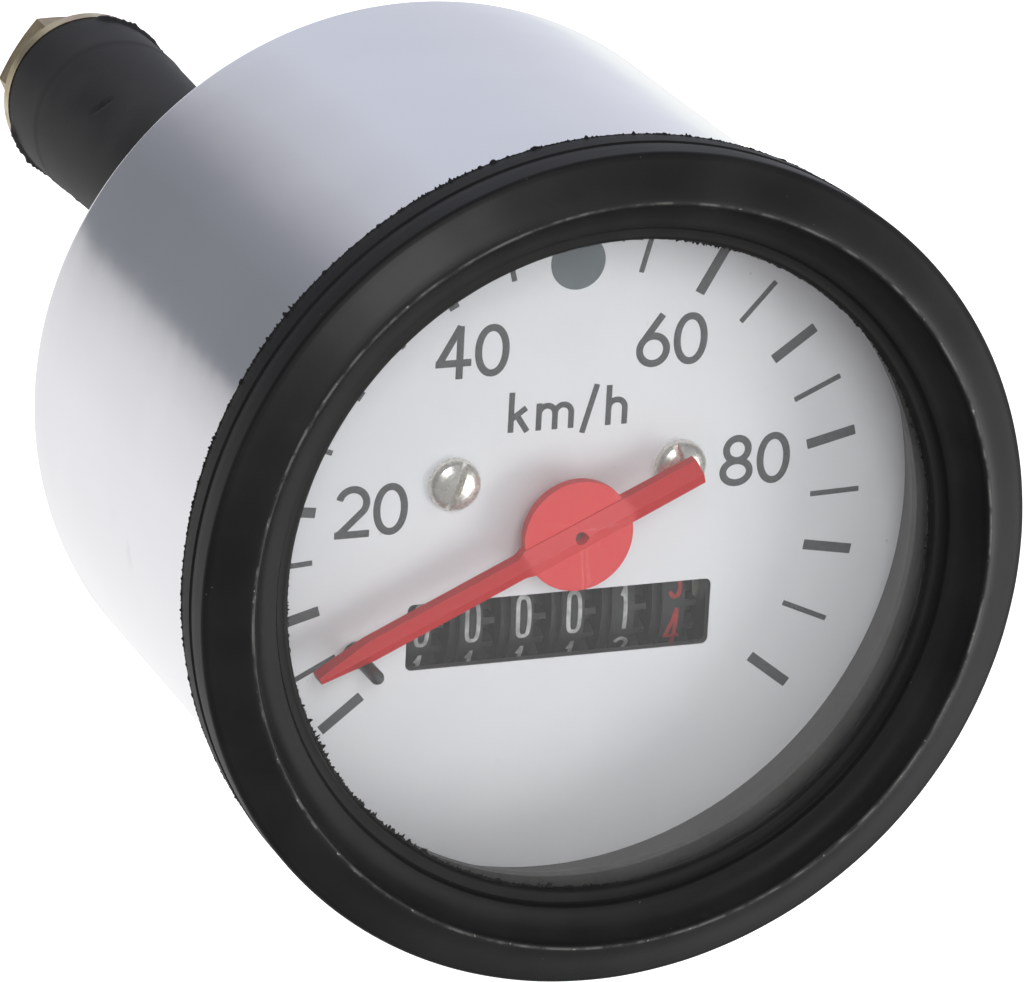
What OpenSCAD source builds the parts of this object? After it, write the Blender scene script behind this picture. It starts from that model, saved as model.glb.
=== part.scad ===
// Magnetic moped speedometer with drum odometer.
// The gauge is drawn with its axis along Z, the dial's face at height 0 and 12 o'clock at +Y.
// place() then stands it up: the dial faces -Y and the cable thread's shoulder is the origin.

/* [Case] */
// Outside diameter of the chromed cup
case_d = 60; // [59:0.5:66]
// Thickness of the cup's sheet
case_wall = 1; // [0.6:0.1:1.2]
// Outside radius of the cup's rear corner
case_corner_r = 1.2; // [1.1:0.1:2]
// Radius of the two lamp holes in the cup's floor
lamp_hole_r = 4.2; // [3.5:0.1:4.4]
// Length of the collar round a lamp hole
lamp_collar_h = 3; // [2:0.1:5]

/* [Glazing] */
// Height of the spacer ring between dial and lens
spacer_h = 6.4; // [6.2:0.1:9]
// Width of the spacer ring under the lens
spacer_w = 3.4; // [2.8:0.1:4]
// Width of the spacer ring at the dial
spacer_foot_w = 1.5; // [1:0.1:2.4]
// Thickness of the lens
lens_t = 2.4; // [1.5:0.1:3]

/* [Bezel] */
// Thickness of the rubber round the cup
bezel_wall = 1.9; // [1.2:0.1:4]
// Length of the skirt that grips the cup
skirt_h = 2.6; // [1.5:0.1:5]
// Height of the bezel's outer edge above the cup's rim
edge_h = 2.8; // [1:0.1:3.2]
// Height of the bezel's crown above the cup's rim
crown_h = 4.1; // [3.5:0.1:5]
// Distance of the crown's ridge inside the cup's outside
crown_inset = 1.4; // [0.8:0.1:2]
// Distance of the small step inside the crown's ridge
step_inset = 2.1; // [1.5:0.1:2.3]
// How far the lip reaches over the lens past the spacer ring
lip_reach = 0.7; // [0.4:0.1:1.2]

/* [Dial] */
// Thickness of the dial plate
dial_t = 0.8; // [0.5:0.1:1]
// Distance of each dial screw from the 12 o'clock line
screw_x = 8.9; // [8.5:0.1:10]
// Height of the dial screws above the centre
screw_y = 3.8; // [3.5:0.1:4.5]
// Radius of a dial screw's head
screw_head_r = 2; // [1.5:0.05:2.2]
// Radius of a dial screw's shank
screw_shank_r = 1; // [0.8:0.05:1.1]
// Height of the warning light above the centre
telltale_y = 20.2; // [19.5:0.1:21]
// Radius of the warning light's filter
telltale_r = 2.05; // [1.5:0.05:2.3]
// Radius at which the stop pin stands
pin_r = 18.3; // [17:0.1:19]
// Direction of the stop pin, counterclockwise from 3 o'clock
pin_angle = 209.3; // [206:0.1:214]
// Radius of the stop pin
pin_radius = 0.52; // [0.4:0.01:0.6]
// Height of the stop pin above the dial
pin_h = 5.2; // [4.6:0.1:5.6]

/* [Pointer] */
// Radius of the pointer's tip
tip_r = 22; // [20:0.1:24]
// Length of the tail behind the centre
tail_r = 10.3; // [8:0.1:12]
// Width of the blade
blade_w = 1.6; // [1.2:0.1:1.8]
// Width of the tail
tail_w = 2.2; // [1.8:0.1:2.6]
// Radius of the hub disc
hub_r = 4.25; // [3.5:0.05:5]
// Thickness of the hub disc
hub_t = 0.8; // [0.6:0.1:1]
// Clear height between the dial and the hub disc
hub_lift = 2.2; // [1.8:0.1:2.4]
// Height of the ridge above the hub disc
ridge_h = 0.75; // [0.5:0.05:0.9]
// Radius of the pointer's spindle
pointer_spindle_r = 0.5; // [0.4:0.05:0.6]

/* [Odometer] */
// Width that one drum takes on the axle
drum_pitch = 4.03; // [3.9:0.01:4.2]
// Radius of the number band
drum_r = 6.6; // [6.5:0.05:6.7]
// Width of the number band
band_w = 1.8; // [1.5:0.05:1.95]
// Depth of the drums behind the dial's rear face
drum_depth = 0.45; // [0.4:0.05:0.6]
// Distance of the drum axle below the dial's centre
odometer_y = 8.03; // [7.9:0.01:8.2]
// Height of the odometer window in the dial
window_h = 5.2; // [4:0.1:5.6]
// Radius of the window's corners
window_corner_r = 0.5; // [0.2:0.1:1]
// Radius of the drum axle
axle_r = 1; // [0.8:0.05:1.1]
// Teeth on each drum's ring
ring_teeth = 20; // [20:20:20]
// Teeth on each carry pinion
pinion_teeth = 8; // [8:8:8]
// Tooth module of the drum rings and carry pinions
carry_module = 0.58; // [0.55:0.01:0.6]
// Radius of the carry pinions' shaft
pinion_shaft_r = 0.7; // [0.5:0.05:0.8]
// How far the carry pinions lie behind the drums, in degrees
pinion_lean = 25; // [20:1:28]

/* [Frame] */
// Thickness of the frame's base plate
base_t = 1.6; // [1.4:0.1:1.8]
// Thickness of the frame's side walls
wall_t = 2.4; // [2.2:0.1:2.8]
// Clear space between the drums and each side wall
wall_gap = 1.5; // [1:0.1:2]
// Height of the frame above the centre line
frame_top = 7.4; // [7:0.1:7.8]
// Thickness of the top bridge
bridge_t = 1.5; // [1.3:0.1:1.6]
// Thickness of the middle bridge
middle_t = 0.8; // [0.6:0.1:1]
// Radius of a bridge screw's shank
bridge_screw_r = 0.7; // [0.5:0.05:0.8]
// Length of a bridge screw below the top bridge
bridge_screw_h = 5; // [3:0.5:8]

/* [Drive] */
// Radius of the drive spindle's journal
spindle_r = 2.5; // [2.2:0.1:2.7]
// Width across the flats of the cable's square socket
socket_w = 2.8; // [2.4:0.1:2.9]
// Depth of the square socket
socket_depth = 7; // [5:0.5:8]
// Outside radius of the bronze bush
bush_r = 3.6; // [3.4:0.1:3.9]
// Radius of the cable thread
cable_thread_r = 6; // [5.5:0.1:6]
// Length of the cable thread
cable_thread_h = 8.5; // [7:0.5:12]
// Radius of the neck where it passes the cup's floor
neck_r = 7; // [6.6:0.1:7.5]
// Height of the ring nut on the neck
ring_nut_h = 2.4; // [2:0.1:3.5]
// Radius of the magnet
magnet_r = 8.6; // [7.5:0.1:9]
// Height of the magnet
magnet_h = 4.6; // [3.5:0.1:4.8]
// Thickness of the drag cup's aluminium
drag_t = 0.5; // [0.3:0.05:0.6]
// Thickness of the flux cup's iron
flux_t = 0.9; // [0.7:0.1:1.2]
// Pitch radius of every worm
worm_r = 1.9; // [1.8:0.05:2]
// Teeth on the first worm wheel
cross_teeth = 10; // [10:10:10]
// Tooth module of the first worm wheel
cross_module = 0.45; // [0.4:0.01:0.48]
// Teeth on the second and third worm wheels
slow_teeth = 20; // [20:20:20]
// Threads on the second and third worms
slow_starts = 2; // [2:2:2]
// Radius of the cross shaft and the lay shaft
shaft_r = 0.8; // [0.6:0.05:0.9]
// Turns of the hairspring
spring_turns = 5; // [4:1:6]
// Outer radius of the hairspring
spring_r = 5.6; // [5:0.1:6]
// Clear height between the drag cup and the middle bridge, where the hairspring lies
spring_room = 4.39; // [3.2:0.01:6]
// Thickness of the hairspring's strip
spring_t = 0.15; // [0.1:0.01:0.2]

/* [Fixing] */
// Distance of the fixing stud from the gauge's axis
stud_offset = 20; // [19:0.1:20.2]
// Direction of the fixing stud, counterclockwise from 3 o'clock
stud_angle = 139.2; // [135:0.1:146]
// Radius of the stud's thread
stud_r = 3; // [2.5:0.5:3]
// Radius of the rubber sleeve at its far end
sleeve_r = 6.9; // [6:0.05:7.2]
// Length of the rubber sleeve
sleeve_h = 33.5; // [20:0.1:40]
// Length of the sleeve's straight end, which grips the bracket
sleeve_land = 7; // [3:0.5:10]
// Radius lost from the sleeve's straight end to the cup
sleeve_waist = 0.7; // [0.3:0.05:0.8]
// Depth of the small step behind the straight end
sleeve_step = 0.15; // [0.12:0.01:0.25]
// Thickness of the washer
washer_t = 1.2; // [0.8:0.1:1.6]
// Width of the nut across its flats
nut_af = 10; // [9:0.5:11]
// Height of the nut
nut_h = 5.5; // [3:0.5:6.5]
// Direction of a corner of the nut, counterclockwise from 3 o'clock
nut_turn = 57.5; // [0:0.5:59.5]
// Stud length beyond the nut
stud_tip = 1.2; // [0.5:0.1:3]

/* [Hidden] */
$fn = 96;

// Clearances
run_fit = 0.03;
slip_fit = 0.1;
air_gap = 0.4;
drum_gap = 0.1;
pointer_stop_gap = 0.03;
cut = 0.5;

// Dial screws
screw_edge_h = 0.35;
screw_dome_h = 0.85;
slot_w = 0.5;
slot_z = screw_edge_h + 0.25;

// Case, glazing and bezel
case_r = case_d / 2;
inner_r = case_r - case_wall;
rim_z = spacer_h + lens_t;
bezel_r = case_r + bezel_wall;
crown_r = case_r - crown_inset;
step_r = crown_r - step_inset;
lamp_y = 4;
floor_r = case_r - case_corner_r;
dial_r = inner_r - slip_fit;
view_r = dial_r - spacer_w;
dial_view_r = dial_r - spacer_foot_w;
lip_r = view_r - lip_reach;

// Odometer
drum_count = 6;
drum_x0 = -drum_count * drum_pitch / 2;
drum_z = -dial_t - drum_depth - drum_r;
ring_pitch_r = ring_teeth * carry_module / 2;
ring_tip_r = ring_pitch_r + carry_module;
ring_root_r = ring_pitch_r - 1.3 * carry_module;
pinion_pitch_r = pinion_teeth * carry_module / 2;
pinion_tip_r = pinion_pitch_r + carry_module;
pinion_root_r = pinion_pitch_r - 1.2 * carry_module;
pinion_distance = ring_pitch_r + pinion_pitch_r + slip_fit;
pinion_y = -odometer_y - pinion_distance * cos(pinion_lean);
pinion_z = drum_z - pinion_distance * sin(pinion_lean);
carry_w = 0.65;
// Two long teeth of a carry pinion straddle the locking rim and cannot turn
long_root_share = 0.32;
long_tip_share = 0.13;
lock_angle = 360 / pinion_teeth * (1 - long_tip_share);
lock_r = norm([pinion_distance - pinion_tip_r * cos(lock_angle), pinion_tip_r * sin(lock_angle)])
    - slip_fit;
ring_w = 1;
window_w = drum_count * drum_pitch - drum_gap;
drum_bottom_z = drum_z - drum_r;

// Frame, from the dial down
bridge_top_z = -dial_t;
bridge_z = bridge_top_z - bridge_t;
wall_in = drum_count * drum_pitch / 2 + wall_gap;
wall_out = wall_in + wall_t;
lamp_x = wall_out + lamp_hole_r + case_wall + slip_fit;
lamp_places = [[-lamp_x, -lamp_y], [0, telltale_y]];
// The top bridge ends above the drums, clear of their number bands
bridge_low = -odometer_y + sqrt(drum_r * drum_r - pow(bridge_z - drum_z, 2)) + 0.5;
bridge_head_r = 1.6 * bridge_screw_r;
bridge_head_t = 0.7;
bridge_slot_w = 0.3;
bridge_screw_places = [for (s = [-1, 1], y = [-2, frame_top - 2]) [s * (wall_in + wall_t / 2), y]];
frame_bottom = pinion_y - 1.8;
middle_top_z = drum_bottom_z - 0.65;
middle_z = middle_top_z - middle_t;

// Magnet system, from the middle bridge down
drag_top_z = middle_z - spring_room;
drag_floor_z = drag_top_z - drag_t;
magnet_top_z = drag_floor_z - air_gap;
magnet_z = magnet_top_z - magnet_h;
flux_z = magnet_z - flux_t;
drag_in_r = magnet_r + air_gap;
drag_out_r = drag_in_r + drag_t;
flux_in_r = drag_out_r + air_gap;
hub_journal_r = 3;
collet_r = 1.2;
collet_h = 1.4;
spring_h = 0.6;
spring_z = (drag_top_z + middle_z - spring_h) / 2;

// Worm gearing and base plate, from the flux cup down
collar_t = 0.4;
cross_wheel_r = cross_teeth * cross_module / 2;
cross_wheel_tip = cross_wheel_r + 0.9 * cross_module;
cross_y = worm_r + cross_wheel_r;
cross_z = flux_z - air_gap - cross_wheel_tip;
base_z = cross_z - cross_wheel_tip - air_gap - 2 * collar_t;
floor_z = base_z - base_t;
case_depth = case_wall - floor_z;
slow_distance = (cross_y + odometer_y) / 2;
slow_wheel_r = slow_distance - worm_r;
slow_module = 2 * slow_wheel_r / slow_teeth;
slow_wheel_tip = slow_wheel_r + 0.9 * slow_module;
lay_x = wall_out + air_gap + slow_wheel_tip;
lay_y = cross_y - slow_distance;
worm_h = 3.6;
wheel_w = 1.3;

// Neck and drive spindle
seal_t = 0.6;
neck_face_z = -case_depth - ring_nut_h - seal_t;
neck_end_z = neck_face_z - cable_thread_h;
flange_r = neck_r + 2;
flange_t = 1;
hub_wall_r = bush_r + 1.5;
ring_nut_w = 3.4;
spanner_slot = 2;
thread_chamfer = 0.5;
spindle_end_z = neck_end_z + 1.5;

// Pointer
pointer_clear = asin((pin_radius + blade_w / 2 + pointer_stop_gap) / pin_r);
pointer_rest = pin_angle - pointer_clear;
hub_top_z = hub_lift + hub_t;

// Light tube between the lamp hole's collar and the dial
tube_wall = 0.6;
tube_foot_r = lamp_hole_r + case_wall + slip_fit;
tube_top_r = telltale_r + 0.4;
tube_mid_z = (floor_z + lamp_collar_h - dial_t) / 2;

// Fixing
stud_x = stud_offset * cos(stud_angle);
stud_y = stud_offset * sin(stud_angle);
stud_head_r = 4.4;
stud_head_t = 1.8;
sleeve_end_z = -case_depth - sleeve_h;
washer_z = sleeve_end_z - washer_t;
nut_z = washer_z - nut_h;
stud_end_z = nut_z - stud_tip;

function arc(cx, cy, r, a0, a1, n) =
    [for (i = [0 : n]) let (a = a0 + (a1 - a0) * i / n) [cx + r * cos(a), cy + r * sin(a)]];

// Point at share t along the hairspring, on its inner face or out by the strip's thickness
function spiral_point(t, out) =
    let (a = 360 * spring_turns * t, inner = collet_r + run_fit)
    let (r = inner + (spring_r - spring_t - inner) * t + out) [r * cos(a), r * sin(a)];

// Stands the gauge up with the cable thread's shoulder at the origin
module place() {
    translate([0, neck_face_z, 0]) rotate([90, 0, 0]) children();
}

module rod(r, z0, z1) {
    translate([0, 0, z0]) cylinder(r = r, h = z1 - z0);
}

module tube(r_out, r_in, z0, z1) {
    difference() {
        rod(r_out, z0, z1);
        rod(r_in, z0 - cut, z1 + cut);
    }
}

// A round bar along X
module bar(r, x0, x1) {
    translate([x0, 0, 0]) rotate([0, 90, 0]) cylinder(r = r, h = x1 - x0);
}

// Gear outline with straight flanked teeth, the first tooth on +X
module gear_outline(teeth, root_r, tip_r, root_share = 0.55, tip_share = 0.25) {
    step = 360 / teeth;
    polygon([for (i = [0 : teeth - 1], k = [-1, 1], part = [0, 1])
        let (at_tip = (k < 0) == (part == 1))
        let (r = at_tip ? tip_r : root_r)
        let (a = i * step + k * step / 2 * (at_tip ? tip_share : root_share))
        [r * cos(a), r * sin(a)]]);
}

// Cross-section of a worm with its threads, the first thread centred on +X
module worm_outline(starts, root_r, tip_r) {
    step = 360 / starts;
    shares = [-0.55, -0.4, -0.25, -0.08, 0.08, 0.25, 0.4, 0.55, 0.85, 1.15];
    polygon([for (s = [0 : starts - 1], k = [0 : len(shares) - 1])
        let (share = abs(shares[k]))
        let (r = share <= 0.25 ? tip_r : share >= 0.55 ? root_r : (tip_r + root_r) / 2)
        let (a = s * step + shares[k] * step / 2)
        [r * cos(a), r * sin(a)]]);
}

// A worm along Z round the origin, with a thread on +Y at height 0
module worm(starts, pitch_r, size, length) {
    lead = starts * PI * size;
    rotate(90 + 180 * length / lead) translate([0, 0, -length / 2])
        linear_extrude(height = length, twist = 360 * length / lead,
            slices = ceil(14 * length / lead), convexity = 6, $fn = 16)
            worm_outline(starts, pitch_r - 1.25 * size, pitch_r + 0.9 * size);
}

// The wheel that meshes with it: its axis lies along X and it leaves a tooth gap towards -Y
module worm_wheel(teeth, starts, wheel_r, size, bore_r) {
    slope = starts * size / (2 * worm_r);
    turn = wheel_w * slope / wheel_r * 180 / PI;
    rotate([0, 90, 0]) difference() {
        rotate(270 + 180 / teeth + turn / 2)
            linear_extrude(height = wheel_w, twist = turn, slices = 2, center = true, $fn = 16)
            gear_outline(teeth, wheel_r - 1.25 * size, wheel_r + 0.9 * size);
        cylinder(r = bore_r, h = wheel_w + 2 * cut, center = true);
    }
}

// Case, glazing and dial

// The cup's wall, from its rim to the rolled rear corner
module cup() color([0.75, 0.75, 0.8]) place() rotate_extrude() polygon(concat(
    arc(floor_r, case_corner_r - case_depth, case_corner_r, -90, 0, 8),
    [[case_r, rim_z], [inner_r, rim_z]],
    arc(floor_r, case_corner_r - case_depth, case_corner_r - case_wall, 0, -90, 8)));

// The cup's flat floor, with collared lamp holes and holes for the neck and the stud
module cup_floor() color([0.75, 0.75, 0.8]) place() difference() {
    intersection() {
        union() {
            rod(floor_r, -case_depth, floor_z);
            for (p = lamp_places) translate([p[0], p[1], 0])
                rod(lamp_hole_r + case_wall, -case_depth, -case_depth + lamp_collar_h);
        }
        rod(floor_r - run_fit, -case_depth, -case_depth + lamp_collar_h);
    }
    for (p = lamp_places) translate([p[0], p[1], 0])
        rod(lamp_hole_r, -case_depth - cut, floor_z + lamp_collar_h);
    rod(neck_r + slip_fit, -case_depth - cut, floor_z + cut);
    translate([stud_x, stud_y, 0]) rod(stud_r + slip_fit, -case_depth - cut, floor_z + cut);
}

module rubber_bezel() color([0.09, 0.09, 0.09]) place() rotate_extrude() polygon(concat(
    [[case_r, rim_z - skirt_h], [bezel_r - 0.3, rim_z - skirt_h], [bezel_r, rim_z - skirt_h + 0.3]],
    arc(bezel_r - 0.5, rim_z + edge_h - 0.5, 0.5, 0, 60, 3),
    [[(bezel_r + crown_r) / 2, rim_z + crown_h - 0.4]],
    arc(crown_r, rim_z + crown_h - 0.6, 0.6, 75, 180, 6),
    [[step_r + 0.5, rim_z + 2.7], [step_r + 0.1, rim_z + 2.3], [step_r, rim_z + 1.9]],
    arc(lip_r + 0.5, rim_z + 1.1, 0.5, 75, 180, 5),
    [[view_r - slip_fit, rim_z], [case_r, rim_z]]));

module lens() color([0.9, 0.95, 1, 0.35]) place() rod(inner_r - slip_fit, spacer_h, rim_z);

module spacer_ring() color([0.8, 0.8, 0.8]) place() rotate_extrude() polygon([
    [dial_view_r, 0], [inner_r - slip_fit, 0], [inner_r - slip_fit, spacer_h],
    [view_r, spacer_h], [view_r, spacer_h - 0.8]]);

// Opening with rounded corners, centred on the Z axis
module window(w, h, r) {
    depth = dial_t + 2 * cut;
    translate([r - w / 2, -h / 2, 0]) cube([w - 2 * r, h, depth]);
    translate([-w / 2, r - h / 2, 0]) cube([w, h - 2 * r, depth]);
    for (x = [r - w / 2, w / 2 - r], y = [r - h / 2, h / 2 - r])
        translate([x, y, 0]) rod(r, 0, depth);
}

module dial_plate() color([0.9, 0.9, 0.9]) place() difference() {
    rod(dial_r, -dial_t, 0);
    translate([0, -odometer_y, -dial_t - cut]) window(window_w, window_h, window_corner_r);
    rod(hub_journal_r / 2, -dial_t - cut, cut);
    for (s = [-1, 1]) translate([s * screw_x, screw_y, 0])
        rod(screw_shank_r + slip_fit, -dial_t - cut, cut);
    translate([0, telltale_y, 0]) rod(telltale_r + run_fit, -dial_t - cut, cut);
    rotate(pin_angle) translate([pin_r, 0, 0]) rod(pin_radius, -dial_t - cut, cut);
}

module dial_screws() color([0.75, 0.72, 0.66]) place()
    for (s = [-1, 1]) translate([s * screw_x, screw_y, 0]) difference() {
        union() {
            rotate_extrude() polygon(concat([[0, 0], [screw_head_r, 0]],
                [for (a = [0 : 10 : 90])
                    [screw_head_r * cos(a), screw_edge_h + screw_dome_h * sin(a)]]));
            rod(screw_shank_r, bridge_z, 0.1);
        }
        rotate(90 + s * 20) translate([-screw_head_r - cut, -slot_w / 2, slot_z])
            cube([2 * screw_head_r + 2 * cut, slot_w, screw_dome_h]);
    }

module telltale_filter() color([0.35, 0.4, 0.45]) place() translate([0, telltale_y, 0]) {
    rod(telltale_r, -dial_t, -0.02);
    rod(telltale_r + 0.35, -dial_t - 0.5, -dial_t);
}

module telltale_tube() color([0.1, 0.1, 0.1]) place() translate([0, telltale_y, 0])
    rotate_extrude() polygon([
        [tube_foot_r, floor_z], [tube_foot_r + tube_wall, floor_z],
        [tube_foot_r + tube_wall, floor_z + lamp_collar_h], [tube_top_r + tube_wall, tube_mid_z],
        [tube_top_r + tube_wall, -dial_t], [tube_top_r, -dial_t], [tube_top_r, tube_mid_z],
        [tube_foot_r, floor_z + lamp_collar_h]]);

module stop_pin() color([0.25, 0.25, 0.25]) place() rotate(pin_angle) translate([pin_r, 0, 0]) {
    rod(pin_radius, -dial_t, pin_h - pin_radius);
    translate([0, 0, pin_h - pin_radius]) sphere(r = pin_radius);
    rod(2 * pin_radius, 0, 0.25);
}

// Pointer and drag cup

module pointer() color([0.8, 0.2, 0.22]) place() rotate(pointer_rest) difference() {
    union() {
        rod(hub_r, hub_lift, hub_top_z);
        rod(hub_journal_r / 2, hub_lift - 1, hub_lift);
        intersection() {
            translate([0, 0, hub_lift]) linear_extrude(height = hub_t + ridge_h + cut) polygon([
                [-tail_r, -tail_w / 2 + 0.1], [hub_r, -tail_w / 2], [hub_r + 0.6, -blade_w / 2],
                [tip_r * 0.8, -blade_w / 2], [tip_r, -blade_w * 0.16],
                [tip_r, blade_w * 0.16], [tip_r * 0.8, blade_w / 2],
                [hub_r + 0.6, blade_w / 2], [hub_r, tail_w / 2], [-tail_r, tail_w / 2 - 0.1]]);
            translate([-tail_r - cut, 0, 0]) rotate([90, 0, 90])
                linear_extrude(height = tail_r + tip_r + 2 * cut) polygon([
                    [-tail_w, hub_lift], [tail_w, hub_lift], [tail_w, hub_top_z - 0.6],
                    [0, hub_top_z + ridge_h], [-tail_w, hub_top_z - 0.6]]);
        }
    }
    rod(pointer_spindle_r, hub_lift - 1 - cut, hub_top_z + ridge_h + cut);
}

module pointer_spindle() color([0.8, 0.8, 0.8]) place() {
    rod(pointer_spindle_r, magnet_top_z + 0.2, hub_top_z - 0.4);
    rod(pointer_spindle_r * 0.6, magnet_top_z - 1, magnet_top_z + 0.2);
}

module drag_cup() color([0.85, 0.85, 0.87]) place() difference() {
    union() {
        rod(drag_out_r, magnet_z + 0.6, drag_top_z);
        rod(1.5, drag_top_z, drag_top_z + 0.5);
    }
    rod(drag_in_r, magnet_z, drag_floor_z);
    rod(pointer_spindle_r, drag_floor_z - cut, drag_top_z + 1);
}

module hairspring_collet() color([0.8, 0.65, 0.3]) place()
    tube(collet_r, pointer_spindle_r, spring_z + spring_h / 2 - collet_h / 2,
        spring_z + spring_h / 2 + collet_h / 2);

// Spiral strip: its inner end lies against the collet, its outer end on the stud
module hairspring() color([0.75, 0.6, 0.35]) place() {
    n = 18 * spring_turns;
    translate([0, 0, spring_z]) linear_extrude(height = spring_h, convexity = 10)
        polygon(concat([for (i = [0 : n]) spiral_point(i / n, 0)],
            [for (i = [n : -1 : 0]) spiral_point(i / n, spring_t)]));
}

module hairspring_stud() color([0.8, 0.65, 0.3]) place() translate([spring_r + 0.4, 0, 0])
    rod(0.4, spring_z, middle_z);

// Magnetic drive

module drive_spindle() color([0.6, 0.6, 0.62]) place() difference() {
    union() {
        rod(spindle_r, spindle_end_z, base_z);
        rod(spindle_r + 0.9, base_z + collar_t, base_z + 2 * collar_t);
        rod(spindle_r, base_z, base_z + collar_t);
        rod(worm_r - 1.3 * cross_module, base_z, flux_z);
        translate([0, 0, cross_z]) worm(1, worm_r, cross_module, worm_h);
        rod(hub_journal_r / 2, flux_z - 0.4, magnet_top_z - 0.4);
    }
    translate([-socket_w / 2, -socket_w / 2, spindle_end_z - cut])
        cube([socket_w, socket_w, socket_depth + cut]);
    rod(pointer_spindle_r * 0.6 + run_fit, magnet_top_z - 1.2, magnet_top_z);
}

module magnet_hub() color([0.75, 0.6, 0.3]) place()
    tube(hub_journal_r, hub_journal_r / 2, magnet_z, magnet_top_z - 0.4);

module magnet() color([0.3, 0.3, 0.32]) place()
    tube(magnet_r, hub_journal_r, magnet_z, magnet_top_z);

module flux_cup() color([0.5, 0.5, 0.52]) place() difference() {
    rod(flux_in_r + flux_t, flux_z, magnet_top_z);
    rod(flux_in_r, magnet_z, magnet_top_z + cut);
    rod(hub_journal_r / 2, flux_z - cut, magnet_z + cut);
}

module thrust_washer() color([0.85, 0.85, 0.8]) place()
    tube(spindle_r + 0.9, spindle_r + run_fit, base_z, base_z + collar_t - run_fit);

module neck_bush() color([0.72, 0.52, 0.3]) place()
    tube(bush_r, spindle_r + run_fit, neck_end_z + 2.5, base_z);

// Odometer

module at_axle() translate([0, -odometer_y, drum_z]) children();

// Slice of a disc that reaches half an angle to each side of +X
module sector(half, reach) {
    polygon([[0, 0], reach * [cos(half), -sin(half)], reach * [cos(half), sin(half)]]);
}

// Locking rim with two teeth, which turn the next pinion by a quarter once a turn
module carry_outline() {
    tooth = 360 / ring_teeth;
    circle(r = ring_root_r);
    difference() {
        circle(r = lock_r);
        sector(1.5 * tooth, 2 * lock_r);
    }
    intersection() {
        rotate(tooth / 2) gear_outline(ring_teeth, ring_root_r, ring_tip_r);
        sector(tooth, 2 * lock_r);
    }
}

// One drum, number i from the left: carry disc, number band and toothed ring
module drum(i) place() at_axle() translate([drum_x0 + i * drum_pitch, 0, 0]) difference() {
    band_x = drum_gap / 2 + carry_w;
    ring_x = band_x + band_w;
    union() {
        translate([drum_gap / 2, 0, 0]) rotate([0, 90, 0]) linear_extrude(height = carry_w)
            rotate(90 + pinion_lean) carry_outline();
        bar(drum_r, band_x, ring_x);
        translate([ring_x, 0, 0]) rotate([0, 90, 0]) linear_extrude(height = ring_w)
            rotate(-90 + pinion_lean + 180 / ring_teeth)
            gear_outline(ring_teeth, ring_root_r, ring_tip_r);
        bar(ring_root_r - 0.6, ring_x + ring_w, drum_pitch - drum_gap / 2);
    }
    bar(axle_r + run_fit, -cut, drum_pitch + cut);
}

module drum_ten_thousands() color([0.12, 0.12, 0.12]) drum(0);
module drum_thousands() color([0.12, 0.12, 0.12]) drum(1);
module drum_hundreds() color([0.12, 0.12, 0.12]) drum(2);
module drum_tens() color([0.12, 0.12, 0.12]) drum(3);
module drum_units() color([0.12, 0.12, 0.12]) drum(4);
module drum_tenths() color([0.12, 0.12, 0.12]) drum(5);

// Worm wheel on a sleeve that carries the drive through the side wall to the last drum
module odometer_drive_gear() color([0.9, 0.88, 0.8]) place() at_axle() difference() {
    union() {
        translate([lay_x, 0, 0]) rotate(180)
            worm_wheel(slow_teeth, slow_starts, slow_wheel_r, slow_module, axle_r + run_fit);
        bar(axle_r + 1, -drum_x0, lay_x - wheel_w / 2);
    }
    bar(axle_r + run_fit, -drum_x0 - cut, lay_x + wheel_w);
}

module odometer_axle() color([0.75, 0.75, 0.78]) place() at_axle()
    bar(axle_r, -wall_out - 0.8, lay_x + wheel_w / 2 + 1);

// Spring clip: a ring with a mouth, in the plane across X
module clip(r, x) {
    translate([x, 0, 0]) rotate([0, 90, 0]) difference() {
        cylinder(r = r + 0.9, h = 0.4);
        translate([0, 0, -cut]) cylinder(r = r, h = 1 + 2 * cut);
        translate([0, -r * 0.6, -cut]) cube([r + 2, r * 1.2, 1 + 2 * cut]);
    }
}

module axle_clips() color([0.4, 0.4, 0.42]) place() {
    at_axle() clip(axle_r, -wall_out - 0.4);
    at_axle() clip(axle_r, lay_x + wheel_w / 2 + run_fit);
    translate([0, pinion_y, pinion_z]) {
        clip(pinion_shaft_r, -wall_out - 0.4);
        clip(pinion_shaft_r, wall_out);
    }
}

// Carry pinion i between drums i - 1 and i: eight teeth on the ring, four on the carry disc
module carry_pinion(i) place() translate([drum_x0 + i * drum_pitch, pinion_y, pinion_z])
    difference() {
        ring_x = -drum_pitch + drum_gap / 2 + carry_w + band_w + drum_gap;
        split_x = -drum_pitch + drum_gap / 2 + carry_w + band_w + ring_w + 0.15;
        union() {
            translate([ring_x, 0, 0]) rotate([0, 90, 0]) linear_extrude(height = split_x - ring_x)
                rotate(90 + pinion_lean) gear_outline(pinion_teeth, pinion_root_r, pinion_tip_r);
            translate([split_x, 0, 0]) rotate([0, 90, 0])
                linear_extrude(height = drum_gap / 2 + carry_w - 0.15 - split_x)
                rotate(90 + pinion_lean + 360 / pinion_teeth) gear_outline(pinion_teeth / 2,
                    pinion_root_r, pinion_tip_r, long_root_share, long_tip_share);
        }
        bar(pinion_shaft_r + run_fit, -drum_pitch, drum_pitch);
    }

module carry_pinion_1() color([0.92, 0.9, 0.82]) carry_pinion(1);
module carry_pinion_2() color([0.92, 0.9, 0.82]) carry_pinion(2);
module carry_pinion_3() color([0.92, 0.9, 0.82]) carry_pinion(3);
module carry_pinion_4() color([0.92, 0.9, 0.82]) carry_pinion(4);
module carry_pinion_5() color([0.92, 0.9, 0.82]) carry_pinion(5);

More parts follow.
